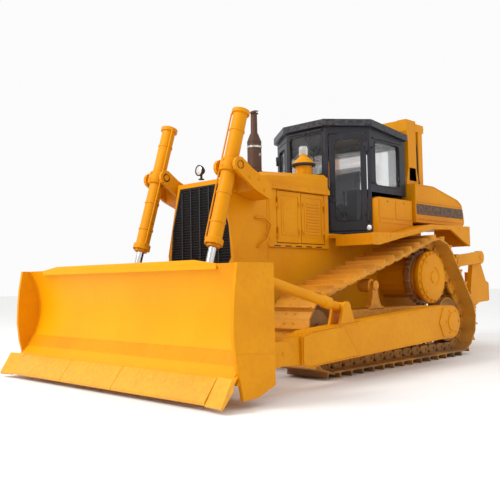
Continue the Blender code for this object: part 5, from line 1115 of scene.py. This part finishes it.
cushion = pad(
    "seat_cushion",
    side_plate(
        [(0.255, 1.992), (0.735, 1.992), (0.755, 2.03), (0.735, 2.085), (0.27, 2.075)], -0.235, 0.235))
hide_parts("operator_seat")
pad("seat_back", side_plate([(0.235, 2.10), (0.325, 2.10), (0.250, 2.60), (0.215, 2.655), (0.155, 2.625)],
                            -0.225, 0.225))
for side_name, side in SIDES:
    pad("armrest_" + side_name, block(0.26, 0.52, *outward(side, 0.262, 0.312), 2.235, 2.270), 0.004)
parts = [block(0.31, 0.65, -0.18, 0.18, 1.672, 1.72), block(0.34, 0.62, -0.16, 0.16, 1.90, 1.985)]
for k in range(6):
    z = 1.725 + k * 0.029
    parts.append(plan_plate(
        rounded_loop(0.33 + 0.004 * (k % 2), 0.63 - 0.004 * (k % 2), -0.165, 0.165, 0.04), z, z + 0.022))
for side_name, side in SIDES:
    parts.append(pipe(
        [(0.30, side * 0.287, 2.228), (0.27, side * 0.287, 2.05), (0.30, side * 0.24, 1.985)], 0.014,
        0.04))
assemble("seat_suspension_and_arms", parts, soot_black, "tractor", edge=0.004)
parts = [side_plate(
    [
        (0.95, 1.672), (1.078, 1.672), (1.078, 2.30), (1.00, 2.335), (0.90, 2.235), (0.905, 2.18),
        (0.96, 2.12)],
    -0.215, 0.215)]
for y in (-0.12, -0.04, 0.04, 0.12):
    parts.append(turned(
        [(0.030, 0), (0.034, 0.004), (0.034, 0.010), (0.028, 0.012), (0.026, 0.006), (0, 0.006)],
        (0.952, y, 2.288), (-0.74, 0, 0.70), 24))
for x, y, lean in ((0.78, 0.34, 0.03), (0.70, 0.36, 0.0), (0.76, -0.34, 0.03), (0.66, -0.36, -0.02)):
    parts.append(pipe([(x, y, 1.672), (x, y, 1.95), (x - 0.05 + lean, y * 0.95, 2.18)], 0.008, 0.05))
    parts.append(turned([(0, -0.03), (0.012, -0.028), (0.020, 0.0), (0.018, 0.022), (0, 0.032)],
                        (x - 0.05 + lean, y * 0.95, 2.20), (0, 0, 1), 20))
for y in (-0.10, 0.10):
    parts.append(prism(
        [
            (0.86, y - 0.04, 1.70), (0.93, y - 0.04, 1.80), (0.935, y - 0.04, 1.795),
            (0.87, y - 0.04, 1.695)],
        (0, 0.08, 0)))
assemble(
    "console_levers_and_pedals", parts, soot_black, "tractor", ["control_console"],
    edge=0.004)

# ---- Roll-over frame -------------------------------------------------------------------------
# Boxed steel posts on flared feet bolted to the tank, with a cross beam behind the cab roof and
# short rear legs, all welded. A black wedge along the front of the beam makes it dark there.
dress("rops_frame", enamel, 0.012)
parts = []
for side_name, side in SIDES:
    feet = [(x, side * y, 2.3445) for x in (-0.345, -0.065) for y in (0.685, 0.775)]
    parts.append(bolts([spot for spot in feet if spot[0] < -0.3], (0, 0, 1), 0.016, 0.014))
    outline = [(-0.300, 2.40), (-0.110, 2.40), (-0.125, 2.58), (-0.285, 2.58)]
    parts.append(side_plate(outline, *outward(side, 0.795, 0.8)))
    parts.append(bolts(
        [(x, side * 0.798, z) for x in (-0.285, -0.125) for z in (3.12, 3.20)], (0, side, 0), 0.013,
        0.002))
    parts.append(side_plate(
        [(-0.075, 2.90), (-0.10, 2.90), (-0.10, 3.10), (-0.062, 3.10)], *outward(side, 0.70, 0.71)))
assemble("roll_frame_feet_and_bolts", parts, enamel, "tractor", edge=0.002)
cover = [prism(
    [(-0.083, -0.30, 3.215), (-0.062, -0.30, 3.10), (-0.070, -0.30, 3.095), (-0.083, -0.30, 3.095)],
    (0, 0.60, 0))]
assemble("cross_beam_dark_front", cover, soot_black, "tractor", edge=0.003)
for side_name, side in SIDES:
    lamp("rear_lamp_" + side_name, (-0.552, side * 0.73, 3.175), (-1, side * 0.05, -0.15), 0.045, 0.0)

# ---- Blade -----------------------------------------------------------------------------------
# A rolled plate welded between end plates over two box beams and ribs. The face is polished a
# little by soil, and the welds and the raised middle of the lip stand proud.
BLADE_HALF = 1.80
BLADE_BACK = 3.81
BLADE_TOP = 1.20
EDGE_SEAT = (4.28, 0.25)
DEEPEST = (4.03, 0.74)
TOP_LIP = (4.17, BLADE_TOP)
SKIN = 0.028
ARM_Y = 1.485
ARM_FRONT_PIN = (3.50, 0.385)
PROP_HEAD_PIN = (3.76, 1.10)
LIFT_PIN = (3.71, 0.40)
face_paint = finish(
    "soil_rubbed_blade_enamel", (0.82, 0.345, 0.001), (0.76, 0.30, 0.001), 0.36, worn=PRIMER_BROWN,
    wear=0.08, grain=60.0, bump=0.05)
socket(face_paint.node_tree.nodes["Principled BSDF"], "Specular IOR Level", 0.14)


def arc_through(a, b, c, steps):
    """Points on the circle through three points, from the first to the last."""
    (ax, ay), (bx, by), (cx, cy) = a, b, c
    d = 2 * (ax * (by - cy) + bx * (cy - ay) + cx * (ay - by))
    ox = ((ax**2 + ay**2) * (by - cy) + (bx**2 + by**2) * (cy - ay) + (cx**2 + cy**2) * (ay - by)) / d
    oz = ((ax**2 + ay**2) * (cx - bx) + (bx**2 + by**2) * (ax - cx) + (cx**2 + cy**2) * (bx - ax)) / d
    first = math.atan2(ay - oz, ax - ox)
    sweep = (math.atan2(cy - oz, cx - ox) - first + math.pi) % (2 * math.pi) - math.pi
    radius = math.hypot(ax - ox, ay - oz)
    return [
        (
            ox + radius * math.cos(first + sweep * k / steps),
            oz + radius * math.sin(first + sweep * k / steps))
        for k in range(steps + 1)]


edge_run = Vector((0.16, -0.20)).normalized()
strip_low = (EDGE_SEAT[0] + edge_run.x * 0.06, EDGE_SEAT[1] + edge_run.y * 0.06)
face = [strip_low] + arc_through(EDGE_SEAT, DEEPEST, TOP_LIP, 32)
inside = BLADE_HALF - 0.02
moldboard = [
    side_plate(face + [(x - SKIN, z) for x, z in reversed(face)], -inside, inside),
    front_plate(
        [(-1.45, 1.15), (1.45, 1.15), (1.45, 1.201), (1.15, 1.24), (-1.15, 1.24), (-1.45, 1.201)],
        TOP_LIP[0] - SKIN + 0.004, TOP_LIP[0] - 0.003)]
assemble("moldboard_face", moldboard, face_paint, "blade")

END_OUTLINE = (
    (BLADE_BACK, 0.16), (4.02, 0.08), (4.20, 0.07), (4.24, 0.25), (4.28, 0.40), (4.305, 0.60),
    (4.30, 0.80), (4.285, 0.98), (4.25, BLADE_TOP), (BLADE_BACK, BLADE_TOP))
parts = [
    side_plate(
        [(BLADE_BACK + 0.02, 0.20), (4.26, 0.20), (4.20, 0.32), (4.12, 0.46), (BLADE_BACK + 0.02, 0.46)],
        -inside, inside),
    side_plate(
        [(BLADE_BACK + 0.06, 0.96), (4.05, 0.96), (4.10, 1.14), (BLADE_BACK + 0.10, 1.14)], -inside,
        inside)]
RIB = [
    (BLADE_BACK + 0.05, 0.44), (4.09, 0.44), (4.015, 0.64), (4.003, 0.76), (4.03, 0.98),
    (BLADE_BACK + 0.09, 0.98)]
for y in (0.0, 0.95, -0.95):
    parts.append(side_plate(RIB, y - 0.02, y + 0.02))
for side_name, side in SIDES:
    parts.append(side_plate(list(END_OUTLINE), *outward(side, BLADE_HALF - 0.04, BLADE_HALF - 0.004)))
    # Front bead, a weld line low on the end plate, and the weld down the moldboard's joint.
    bead = [(x - 0.008, side * (BLADE_HALF - 0.008), z) for x, z in END_OUTLINE[2:9]]
    parts.append(pipe(bead, 0.0075, 0.02, 10))
    parts.append(pipe([(BLADE_BACK + 0.01, side * (BLADE_HALF - 0.005), 0.425),
                       (4.27, side * (BLADE_HALF - 0.005), 0.455)], 0.0045, 0.02, 8))
    seam = [(x + 0.004, side * (BLADE_HALF - 0.043), z) for x, z in face[2::3]]
    parts.append(pipe(seam, 0.007, 0.02, 8))
    middle = side * ARM_Y
    for near, far in ((0.10, 0.135), (-0.135, -0.10)):
        ear = arc(*ARM_FRONT_PIN, 0.11, 80, 280) + [(BLADE_BACK + 0.05, 0.22), (BLADE_BACK + 0.05, 0.52)]
        parts.append(side_plate(ear, middle + near, middle + far))
    for near, far in ((0.065, 0.095), (-0.095, -0.065)):
        ear = arc(*PROP_HEAD_PIN, 0.07, 90, 270) + [(BLADE_BACK + 0.16, 0.97), (BLADE_BACK + 0.16, 1.13)]
        parts.append(side_plate(ear, middle + near, middle + far))
    parts.append(side_plate(RIB, middle - 0.105, middle + 0.105))
    parts.append(across(*ARM_FRONT_PIN, middle - 0.1345, middle + 0.1345, 0.0398))
    parts.append(across(*PROP_HEAD_PIN, middle - 0.094, middle + 0.094, 0.0279))
    for reach in (-1, 1):
        parts.append(bolts([at(ARM_FRONT_PIN, middle + reach * 0.1345)], (0, reach, 0), 0.022, 0.008))
        parts.append(bolts([at(PROP_HEAD_PIN, middle + reach * 0.094)], (0, reach, 0), 0.015, 0.006))
    for near, far in ((0.066, 0.096), (-0.096, -0.066)):
        lug = arc(*LIFT_PIN, 0.065, 90, 270) + [(BLADE_BACK + 0.05, 0.30), (BLADE_BACK + 0.05, 0.455)]
        parts.append(side_plate(lug, side * LIFT_Y + near, side * LIFT_Y + far))
    for reach in (-1, 1):
        stub = [
            (0, -0.012), (0.022, -0.012), (0.022, 0.0), (0.034, 0.0), (0.034, 0.007), (0.028, 0.010),
            (0, 0.010)]
        parts.append(turned(stub, at(LIFT_PIN, side * LIFT_Y + reach * 0.096), (0, reach, 0)))
assemble("blade_frame_and_ears", parts, enamel, "blade", ["blade"])
ball = [turned(
    [(0.0398, -0.10)] + [
        (0.065 * math.cos(math.radians(a)), 0.065 * math.sin(math.radians(a)))
        for a in range(-50, 51, 10)] + [(0.0398, 0.10)],
    at(ARM_FRONT_PIN, -ARM_Y), (0, 1, 0), 40)]
assemble("blade_ball_right", ball, enamel, "blade", edge=0)

# ---- Cutting edge ----------------------------------------------------------------------------
# Hardened plates in three lengths and two end bits, held under the moldboard by countersunk plough
# bolts. Their lower rim is scoured to bare metal.
edge_paint = finish("scoured_cutting_edge", (0.84, 0.39, 0.012), (0.72, 0.30, 0.010), 0.42,
                    worn=(0.20, 0.12, 0.06), wear=0.35, low_shade_and_mud=(0.36, 0.22, 0.10), low_shade_and_mud_top=0.07)
out = Vector((-edge_run.y, edge_run.x))


def on_edge(down, off):
    """A point beside the moldboard's strip: down along it, off its face."""
    return (EDGE_SEAT[0] + edge_run.x * down + out.x * off, EDGE_SEAT[1] + edge_run.y * down + out.y * off)


PLOUGH_BOLTS = 18
JOINTS = (-1.60, -0.60, 0.30, 1.60)
JOINT_GAP = 0.003
parts = []
for y0, y1 in zip(JOINTS, JOINTS[1:]):
    outline = [
        on_edge(-0.002, 0.0006), on_edge(0.262, 0.0006), on_edge(0.262, 0.011), on_edge(0.245, 0.027),
        on_edge(0.018, 0.027), on_edge(0.0, 0.016)]
    parts.append(side_plate(outline, y0 + JOINT_GAP, y1 - JOINT_GAP))
for side_name, side in SIDES:
    inner, far = side * 1.603, side * 1.83
    corners = [(on_edge(0.0, 0.001), inner), (on_edge(0.0, 0.028), inner), (on_edge(0.268, 0.012), inner),
               (on_edge(0.27, 0.0), inner), ((4.34, 0.18), far), ((4.358, 0.27), far), ((4.49, 0.050), far),
               ((4.47, 0.035), far)]
    bm = bmesh.new()
    verts = [bm.verts.new((x, y, z)) for (x, z), y in corners]
    bmesh.ops.convex_hull(bm, input=verts)
    bmesh.ops.dissolve_limit(bm, angle_limit=0.02, verts=bm.verts, edges=bm.edges)
    parts.append(bm)
holes = []
for k in range(PLOUGH_BOLTS):
    y = -1.50 + k * 3.0 / (PLOUGH_BOLTS - 1)
    x, z = on_edge(0.085, 0.0265)
    holes.append((x, y, z))
heads = turned([(0, 0.0), (0.021, 0.0), (0.021, 0.0022), (0.014, 0.0026), (0.013, 0.0012), (0, 0.0012)],
               (0, 0, 0), (0, 0, 1), 20)
lean = Vector((out.x, 0, out.y)).to_track_quat("Z", "Y").to_matrix().to_4x4()
parts.append(copied(heads, [Matrix.Translation(spot) @ lean for spot in holes]))
assemble(
    "cutting_edge_plates_and_bits", parts, edge_paint, "blade", ["cutting_edge"],
    edge=0.003)

# ---- Push arms -------------------------------------------------------------------------------
# Long box arms of welded plate, doubled at both ends, run from the track frames' trunnions to the
# blade. A bolted cap closes each trunnion, and a cast nose carries the blade's pin.
PROP_FOOT_PIN = (2.45, 0.76)
ARM_BOX_HALF = 0.098
ARM_PLATE_OUT = 0.1095
KEEPER_BOLTS = 6
KEEPER_RADIUS = 0.15
for side_name, side in SIDES:
    middle = side * ARM_Y
    rear_eye = arc(*TRUNNION, 0.20, 90, 270, 20)
    outline = rear_eye + [
        (0.60, 0.31), (3.10, 0.22), (3.20, 0.25), (3.20, 0.52), (3.05, 0.56), (0.60, 0.71)]
    parts = [side_plate(outline, middle - ARM_BOX_HALF, middle + ARM_BOX_HALF)]
    for near, far in ((0.086, ARM_PLATE_OUT), (-ARM_PLATE_OUT, -0.086)):
        # Doubler plates at both ends, and weld beads along the box's corners.
        parts.append(side_plate(
            [(2.30, 0.275), (3.09, 0.235), (3.185, 0.26), (3.185, 0.51), (3.04, 0.545), (2.55, 0.578)],
            middle + near, middle + far))
        parts.append(side_plate(
            arc(*TRUNNION, 0.185, 80, 280, 20) + [(0.52, 0.335), (0.62, 0.51), (0.52, 0.69)],
            middle + near, middle + far))
        y = middle + (ARM_BOX_HALF if near > 0 else -ARM_BOX_HALF)
        parts.append(pipe([(0.55, y, 0.322), (3.08, y, 0.230)], 0.006, 0.01, 8))
        parts.append(pipe([(0.55, y, 0.704), (3.03, y, 0.556)], 0.006, 0.01, 8))
        y = middle + (ARM_PLATE_OUT if near > 0 else -ARM_PLATE_OUT)
        parts.append(pipe([(2.31, y, 0.280), (2.55, y, 0.572), (3.03, y, 0.540)], 0.0035, 0.01, 8))
        lug = arc(*PROP_FOOT_PIN, 0.065, 0, 180) + [(2.32, 0.60), (2.58, 0.56)]
        near, far = (0.052, 0.082) if near > 0 else (-0.082, -0.052)
        parts.append(side_plate(lug, middle + near, middle + far))
    nose = arc(*ARM_FRONT_PIN, 0.125, -90, 90) + [(3.12, 0.52), (3.12, 0.25)]
    parts.append(side_plate(nose, middle - 0.07, middle + 0.07))
    parts.append(turned([(0.055, 0), (0.082, 0), (0.082, 0.008), (0.070, 0.012), (0.055, 0.012)],
                        at(ARM_FRONT_PIN, middle + side * 0.070), (0, side, 0)))
    parts.append(across(*PROP_FOOT_PIN, middle - 0.081, middle + 0.081, 0.0279))
    parts.append(bolts([(3.14, middle + dy, 0.5275) for dy in (-0.06, 0, 0.06)], (0.1, 0, 1), 0.016, 0.014))
    ring_spots = arc(*TRUNNION, KEEPER_RADIUS, 0, 360, KEEPER_BOLTS)[:KEEPER_BOLTS]
    keeper = [at(spot, middle + side * ARM_PLATE_OUT) for spot in ring_spots]
    parts.append(bolts(keeper, (0, side, 0), 0.013, 0.010))
    cap = [(0, 0), (0.115, 0), (0.115, 0.008), (0.09, 0.012), (0, 0.012)]
    parts.append(turned(cap, at(TRUNNION, middle + side * ARM_PLATE_OUT), (0, side, 0), 40))
    body = "blade" if side > 0 else "push_arm_right"
    assemble(
        "push_arm_box_" + side_name, parts, enamel, body, ["push_arm_" + side_name],
        edge=0.006)
dress("trunnion_bush_right", tooth_iron, 0)

# ---- Left brace ------------------------------------------------------------------------------
# A steel tube with a threaded eye screwed in at the foot. Turning its collar sets the blade's
# pitch; a bent bar welded on the collar is the handle.
THREADS = 12


def ring(start, end, inner, outer, sides=36):
    length = (Vector(end) - Vector(start)).length
    return turned([(inner, 0), (outer, 0), (outer, length), (inner, length), (inner, 0)], start,
                  Vector(end) - Vector(start), sides)


foot = Vector(at(PROP_FOOT_PIN, ARM_Y))
head = Vector(at(PROP_HEAD_PIN, ARM_Y))
run = (head - foot).normalized()
reach = (head - foot).length
thread = []
for k in range(THREADS):
    thread += [(0.0372, 0.065 + k * 0.011), (0.0398, 0.0705 + k * 0.011)]
collar = [(0.038, 0.20), (0.062, 0.205), (0.062, 0.295), (0.052, 0.305), (0.050, 0.32)]
flange = [(0.050, reach - 0.16), (0.060, reach - 0.155), (0.060, reach - 0.135), (0.036, reach - 0.13)]
shank = [(0.036, reach - 0.03), (0, reach - 0.03)]
parts = [
    turned([(0, 0.03), (0.038, 0.03), (0.038, 0.06)] + thread + collar + flange + shank, foot, run, 40),
    ring(foot - Vector((0, 0.0515, 0)), foot + Vector((0, 0.0515, 0)), 0.0285, 0.055),
    ring(head - Vector((0, 0.0645, 0)), head + Vector((0, 0.0645, 0)), 0.0285, 0.055)]
parts.append(pipe(
    [
        foot + run * 0.25 + Vector((0, 0.0, 0.058)), foot + run * 0.25 + Vector((0, 0, 0.088)),
        foot + run * 0.31 + Vector((0, 0, 0.088)), foot + run * 0.31 + Vector((0, 0, 0.05))],
    0.006, 0.01))
assemble("brace_tube_and_turnbuckle", parts, enamel, "blade", ["brace_left"], edge=0.003)

# ---- Lift cylinders --------------------------------------------------------------------------
# Welded steel barrels with a bolted gland, hung by a collar's trunnion pins in the guard's yokes,
# with an oil pipe clipped to the inner side. Hard-chromed rods end in welded eyes on the blade.
LIFT_BACK = 0.67
LIFT_REACH = 0.90
LIFT_BARREL = 0.078
LIFT_CAP = 0.098
LIFT_ROD = 0.042
GLAND_BOLTS = 8
chrome = finish(
    "hard_chromed_rod", (0.66, 0.66, 0.67), (0.52, 0.52, 0.54), 0.14, metallic=1.0, grain=300.0,
    bump=0.02)


def cylinder(start, direction, back, length, radius, cap, bore):
    """Barrel parts from behind start to length beyond it, along direction."""
    forward = Vector(direction).normalized()
    aside = forward.cross(Vector((0, 1, 0))).normalized()
    gap = bore + 0.0015
    parts = [turned(
        [
            (0, -back), (radius * 0.70, -back), (radius * 0.86, -back + 0.006), (cap, -back + 0.02),
            (cap, -back + 0.062), (radius * 1.02, -back + 0.068), (radius, -back + 0.085),
            (radius, length - 0.10), (radius * 1.08, length - 0.095), (cap, length - 0.085),
            (cap, length - 0.030), (radius * 0.92, length - 0.024), (radius * 0.92, length - 0.004),
            (radius * 0.85, length), (gap, length), (gap, length - 0.05), (0, length - 0.05)],
        start, forward, 48)]
    heads = []
    for k in range(GLAND_BOLTS):
        a = 2 * math.pi * (k + 0.5) / GLAND_BOLTS
        spoke = aside * math.cos(a) + Vector((0, 1, 0)) * math.sin(a)
        heads.append(Vector(start) + forward * (length - 0.031) + spoke * (radius + cap) * 0.5)
    parts.append(bolts(heads, forward, min(0.010, (cap - radius) * 0.55 + 0.002), 0.010))
    return parts


for side_name, side in SIDES:
    yoke = Vector(at(YOKE, side * LIFT_Y))
    lug = Vector(at(LIFT_PIN, side * LIFT_Y))
    run = (lug - yoke).normalized()
    front = Vector((0, 1, 0)).cross(run).normalized()
    parts = cylinder(yoke, run, LIFT_BACK, LIFT_REACH, LIFT_BARREL, LIFT_CAP, LIFT_ROD)
    parts.append(turned([(0.078, -0.072), (0.100, -0.070), (0.108, -0.058), (0.108, 0.058), (0.100, 0.070),
                         (0.078, 0.072)], yoke, run, 48))
    for reach in (-1, 1):
        parts.append(rod(
            yoke + Vector((0, reach * 0.07, 0)), yoke + Vector((0, reach * 0.161, 0)), 0.0348, 32))
        parts.append(bolts([yoke + run * along + front * -0.1075 * reach
                            for along in (-0.035, 0.035)], -front * reach, 0.012, 0.008))
    # The oil pipes run down the barrel's inner side in clips.
    inner = Vector((0, -side, 0))
    path = [
        yoke - run * 0.62 + inner * 0.080, yoke - run * 0.62 + inner * 0.106,
        yoke - run * 0.10 + inner * 0.1095, yoke + run * 0.10 + inner * 0.1095,
        yoke + run * 0.81 + inner * 0.103, yoke + run * 0.83 + inner * 0.080]
    parts.append(pipe([p - front * 0.035 for p in path], 0.0095, 0.03, 12))
    for along in (-0.42, 0.30, 0.62):
        parts.append(turned(
            [(0.0785, 0), (0.0845, 0.001), (0.0845, 0.021), (0.0785, 0.022)], yoke + run * along, run,
            40))
    assemble(
        "lift_cylinder_barrel_" + side_name, parts, enamel, "lift_cylinder_" + side_name,
        ["lift_cylinder_" + side_name], edge=0.0025)
    shaft = rod(lug - run * 0.03, lug - run * 1.53, LIFT_ROD, 48)
    assemble("lift_rod_shaft_" + side_name, [shaft], chrome, "lift_rod_" + side_name,
             ["lift_rod_" + side_name], edge=0.003)
    eye = [ring(lug - Vector((0, 0.0445, 0)), lug + Vector((0, 0.0445, 0)), 0.0252, 0.0545),
           turned([(0.030, 0.045), (0.050, 0.05), (0.048, 0.09), (0.0425, 0.115)], lug, -run, 40)]
    assemble("lift_rod_eye_" + side_name, eye, enamel, "lift_rod_" + side_name, edge=0.003)

# ---- Tilt cylinder ---------------------------------------------------------------------------
# A short cylinder in the brace's place on the right arm. It is built like the lift cylinders, and
# its ball eyes let it swing as the blade tips.
TILT_ROD = 0.032
foot = Vector(at(PROP_FOOT_PIN, -ARM_Y))
head = Vector(at(PROP_HEAD_PIN, -ARM_Y))
run = (head - foot).normalized()
parts = cylinder(foot + run * 0.20, run, 0.11, 0.66, 0.062, 0.071, TILT_ROD)
parts.append(rod(foot + run * 0.040, foot + run * 0.11, 0.036))
parts.append(ring(foot - Vector((0, 0.036, 0)), foot + Vector((0, 0.036, 0)), 0.043, 0.062))
port = Vector((0, 0, 1))
parts.append(pipe(
    [
        foot + run * 0.16 + port * 0.060, foot + run * 0.17 + port * 0.088,
        foot + run * 0.40 + port * 0.074, foot + run * 0.74 + port * 0.074,
        foot + run * 0.79 + port * 0.055],
    0.008, 0.02, 10))
assemble(
    "tilt_cylinder_barrel", parts, enamel, "tilt_cylinder", ["tilt_cylinder"],
    edge=0.0025)
shaft = rod(foot + run * 0.43, head - run * 0.05, TILT_ROD, 40)
assemble("tilt_rod_shaft", [shaft], chrome, "tilt_rod", ["tilt_rod"], edge=0.002)
eye = [ring(head - Vector((0, 0.0445, 0)), head + Vector((0, 0.0445, 0)), 0.0452, 0.0655),
       turned([(0.045, 0.055), (0.050, 0.070), (0.040, 0.105), (0.0325, 0.115)], head, -run, 40)]
assemble("tilt_rod_eye", eye, enamel, "tilt_rod", edge=0.002)

# ---- Ripper ----------------------------------------------------------------------------------
# A welded box beam with three shanks, on a parallel linkage behind the case. The shanks are
# forgings pinned in pockets, with cast points pinned on their tips.
for node in ("ripper_bracket", "ripper_lower_arm", "ripper_upper_link", "ripper_beam"):
    dress(node, enamel, 0.007)
UPPER_PIVOT = (-1.90, 1.362)
SHANK_YS = (-0.60, 0.0, 0.60)
shank_iron = finish("forged_shank_iron", (0.50, 0.24, 0.04), (0.24, 0.13, 0.06), 0.5, metallic=0.3,
                    worn=(0.40, 0.37, 0.34), wear=0.9, low_shade_and_mud=(0.26, 0.24, 0.22), low_shade_and_mud_top=0.35)
parts = []
pins = []
for y in SHANK_YS:
    point = [
        (-2.055, 0.360), (-1.835, 0.108), (-1.845, 0.0855), (-1.865, 0.0855), (-2.005, 0.135),
        (-2.150, 0.265)]
    parts.append(side_plate(point, y - 0.049, y + 0.049))
    parts.append(across(-2.075, 0.262, y - 0.055, y + 0.055, 0.016, 16))
    for z in (1.02, 1.09):
        parts.append(across(-2.18, z, y - 0.046, y + 0.046, 0.016, 16))
    for reach in (-1, 1):
        x_low, x_high = -2.29, -2.08
        pins.append(block(x_low, x_high, *sorted((y + reach * 0.042, y + reach * 0.075)), 0.955, 1.000))
assemble("shank_points_and_pins", parts, shank_iron, "ripper_beam", edge=0.005)
for side_name, side in SIDES:
    pins.append(turned(
        [(0, 0), (0.044, 0), (0.044, 0.002), (0.030, 0.003), (0, 0.003)], at(UPPER_PIVOT, side * 0.9465),
        (0, side, 0)))
    pins.append(pipe(
        [
            (-2.305, side * 0.8505, 0.70), (-2.305, side * 0.8505, 0.95), (-2.215, side * 0.8505, 0.99),
            (-1.985, side * 0.8505, 1.375)],
        0.005, 0.01, 8))
assemble("ripper_beam_pockets_and_welds", pins, enamel, "ripper_beam", edge=0.003)
parts = []
for side_name, side in SIDES:
    spots = [(-1.0695, side * y, z) for y in (0.10, 0.52) for z in (0.98, 1.10, 1.46, 1.58)]
    parts.append(bolts(spots, (-1, 0, 0), 0.016, 0.014))
assemble("ripper_bracket_bolts", parts, enamel, "tractor", edge=0)

# ---- Ripper cylinders ------------------------------------------------------------------------
# Two short cylinders with welded eyes, pinned between the bracket's top ears and the lower arm.
# They are built like the lift cylinders, with a steel oil pipe bent round the gland.
LOWER_PIVOT = (-1.12, 0.757)
LOWER_ARM_RUN = (-0.73, 0.064)
HOIST_SHARE = 0.46
HOIST_Y = 0.28
HOIST_ROD = 0.028
HOIST_TOP = Vector((-1.14, 0, 1.545))
HOIST_FOOT = Vector((LOWER_PIVOT[0] + LOWER_ARM_RUN[0] * HOIST_SHARE, 0,
                     LOWER_PIVOT[1] + LOWER_ARM_RUN[1] * HOIST_SHARE))
for side_name, side in SIDES:
    top = HOIST_TOP + Vector((0, side * HOIST_Y, 0))
    foot = HOIST_FOOT + Vector((0, side * HOIST_Y, 0))
    run = (foot - top).normalized()
    parts = cylinder(top + run * 0.08, run, 0.03, 0.42, 0.052, 0.062, HOIST_ROD)
    parts.append(ring(top - Vector((0, 0.0395, 0)), top + Vector((0, 0.0395, 0)), 0.0268, 0.048))
    parts.append(pipe(
        [
            top + run * 0.14 + Vector((-0.050, 0, 0)), top + run * 0.15 + Vector((-0.066, 0, 0)),
            top + run * 0.40 + Vector((-0.066, 0, 0)), top + run * 0.43 + Vector((-0.050, 0, 0))],
        0.007, 0.02))
    assemble(
        "ripper_cylinder_barrel_" + side_name, parts, enamel, "ripper_cylinder_" + side_name,
        ["ripper_cylinder_" + side_name], edge=0.002)
    shaft = rod(foot - run * 0.03, top + run * 0.30, HOIST_ROD, 40)
    assemble("ripper_rod_shaft_" + side_name, [shaft], chrome, "ripper_rod_" + side_name,
             ["ripper_rod_" + side_name], edge=0.002)
    eye = ring(foot - Vector((0, 0.0445, 0)), foot + Vector((0, 0.0445, 0)), 0.0215, 0.0445)
    assemble(
        "ripper_rod_eye_" + side_name, [eye], enamel, "ripper_rod_" + side_name,
        edge=0.002)

# ---- Floor, lamps and camera ------------------------------------------------------------------
# A pale seamless floor under soft daylight from a large panel ahead of the blade and above it.
# The camera stands low off the front left corner.
FLOOR_HALF = 60.0
CAMERA_SPOT = (7.157, 5.792, 1.035)
CAMERA_YAW_DEG = 223.996
CAMERA_PITCH_DEG = 3.484
CAMERA_ROLL_DEG = -0.904
CAMERA_LENS_MM = 49.91
SKY_STRENGTH = 0.97

bpy.ops.mesh.primitive_plane_add(size=2 * FLOOR_HALF)
floor = bpy.context.object
floor.name = "studio_floor"
floor.data.materials.append(finish("pale_floor", (0.90, 0.90, 0.89), (0.86, 0.86, 0.85), 0.8, bump=0.0))

world = bpy.data.worlds.new("studio_sky")
world.use_nodes = True
socket(world.node_tree.nodes["Background"], "Color", (1.0, 1.0, 1.0, 1.0))
socket(world.node_tree.nodes["Background"], "Strength", SKY_STRENGTH)
bpy.context.scene.world = world
bpy.context.scene.view_settings.view_transform = "Standard"


def panel(name, spot, target, size, watts):
    data = bpy.data.lights.new(name, "AREA")
    data.shape = "SQUARE"
    data.size = size
    data.energy = watts
    lamp = bpy.data.objects.new(name, data)
    lamp.location = spot
    lamp.rotation_mode = "QUATERNION"
    lamp.rotation_quaternion = (Vector(target) - Vector(spot)).to_track_quat("-Z", "Y")
    bpy.context.scene.collection.objects.link(lamp)


panel("key_panel", (11.0, -2.5, 9.5), (0.5, 0.0, 0.9), 5.0, 1000.0)
panel("side_panel", (1.0, 12.0, 7.0), (0.0, 0.0, 1.0), 6.0, 90.0)

yaw, pitch, roll = (math.radians(a) for a in (CAMERA_YAW_DEG, CAMERA_PITCH_DEG, CAMERA_ROLL_DEG))
ahead = Vector((math.cos(yaw) * math.cos(pitch), math.sin(yaw) * math.cos(pitch), math.sin(pitch)))
level = ahead.cross(Vector((0, 0, 1))).normalized()
upright = level.cross(ahead)
right = level * math.cos(roll) + upright * math.sin(roll)
up = upright * math.cos(roll) - level * math.sin(roll)
camera = bpy.data.objects.new("camera", bpy.data.cameras.new("camera"))
camera.data.lens = CAMERA_LENS_MM
camera.data.clip_end = 200.0
camera.matrix_world = Matrix((
    (right.x, up.x, -ahead.x, CAMERA_SPOT[0]),
    (right.y, up.y, -ahead.y, CAMERA_SPOT[1]),
    (right.z, up.z, -ahead.z, CAMERA_SPOT[2]),
    (0, 0, 0, 1)))
bpy.context.scene.collection.objects.link(camera)
bpy.context.scene.camera = camera
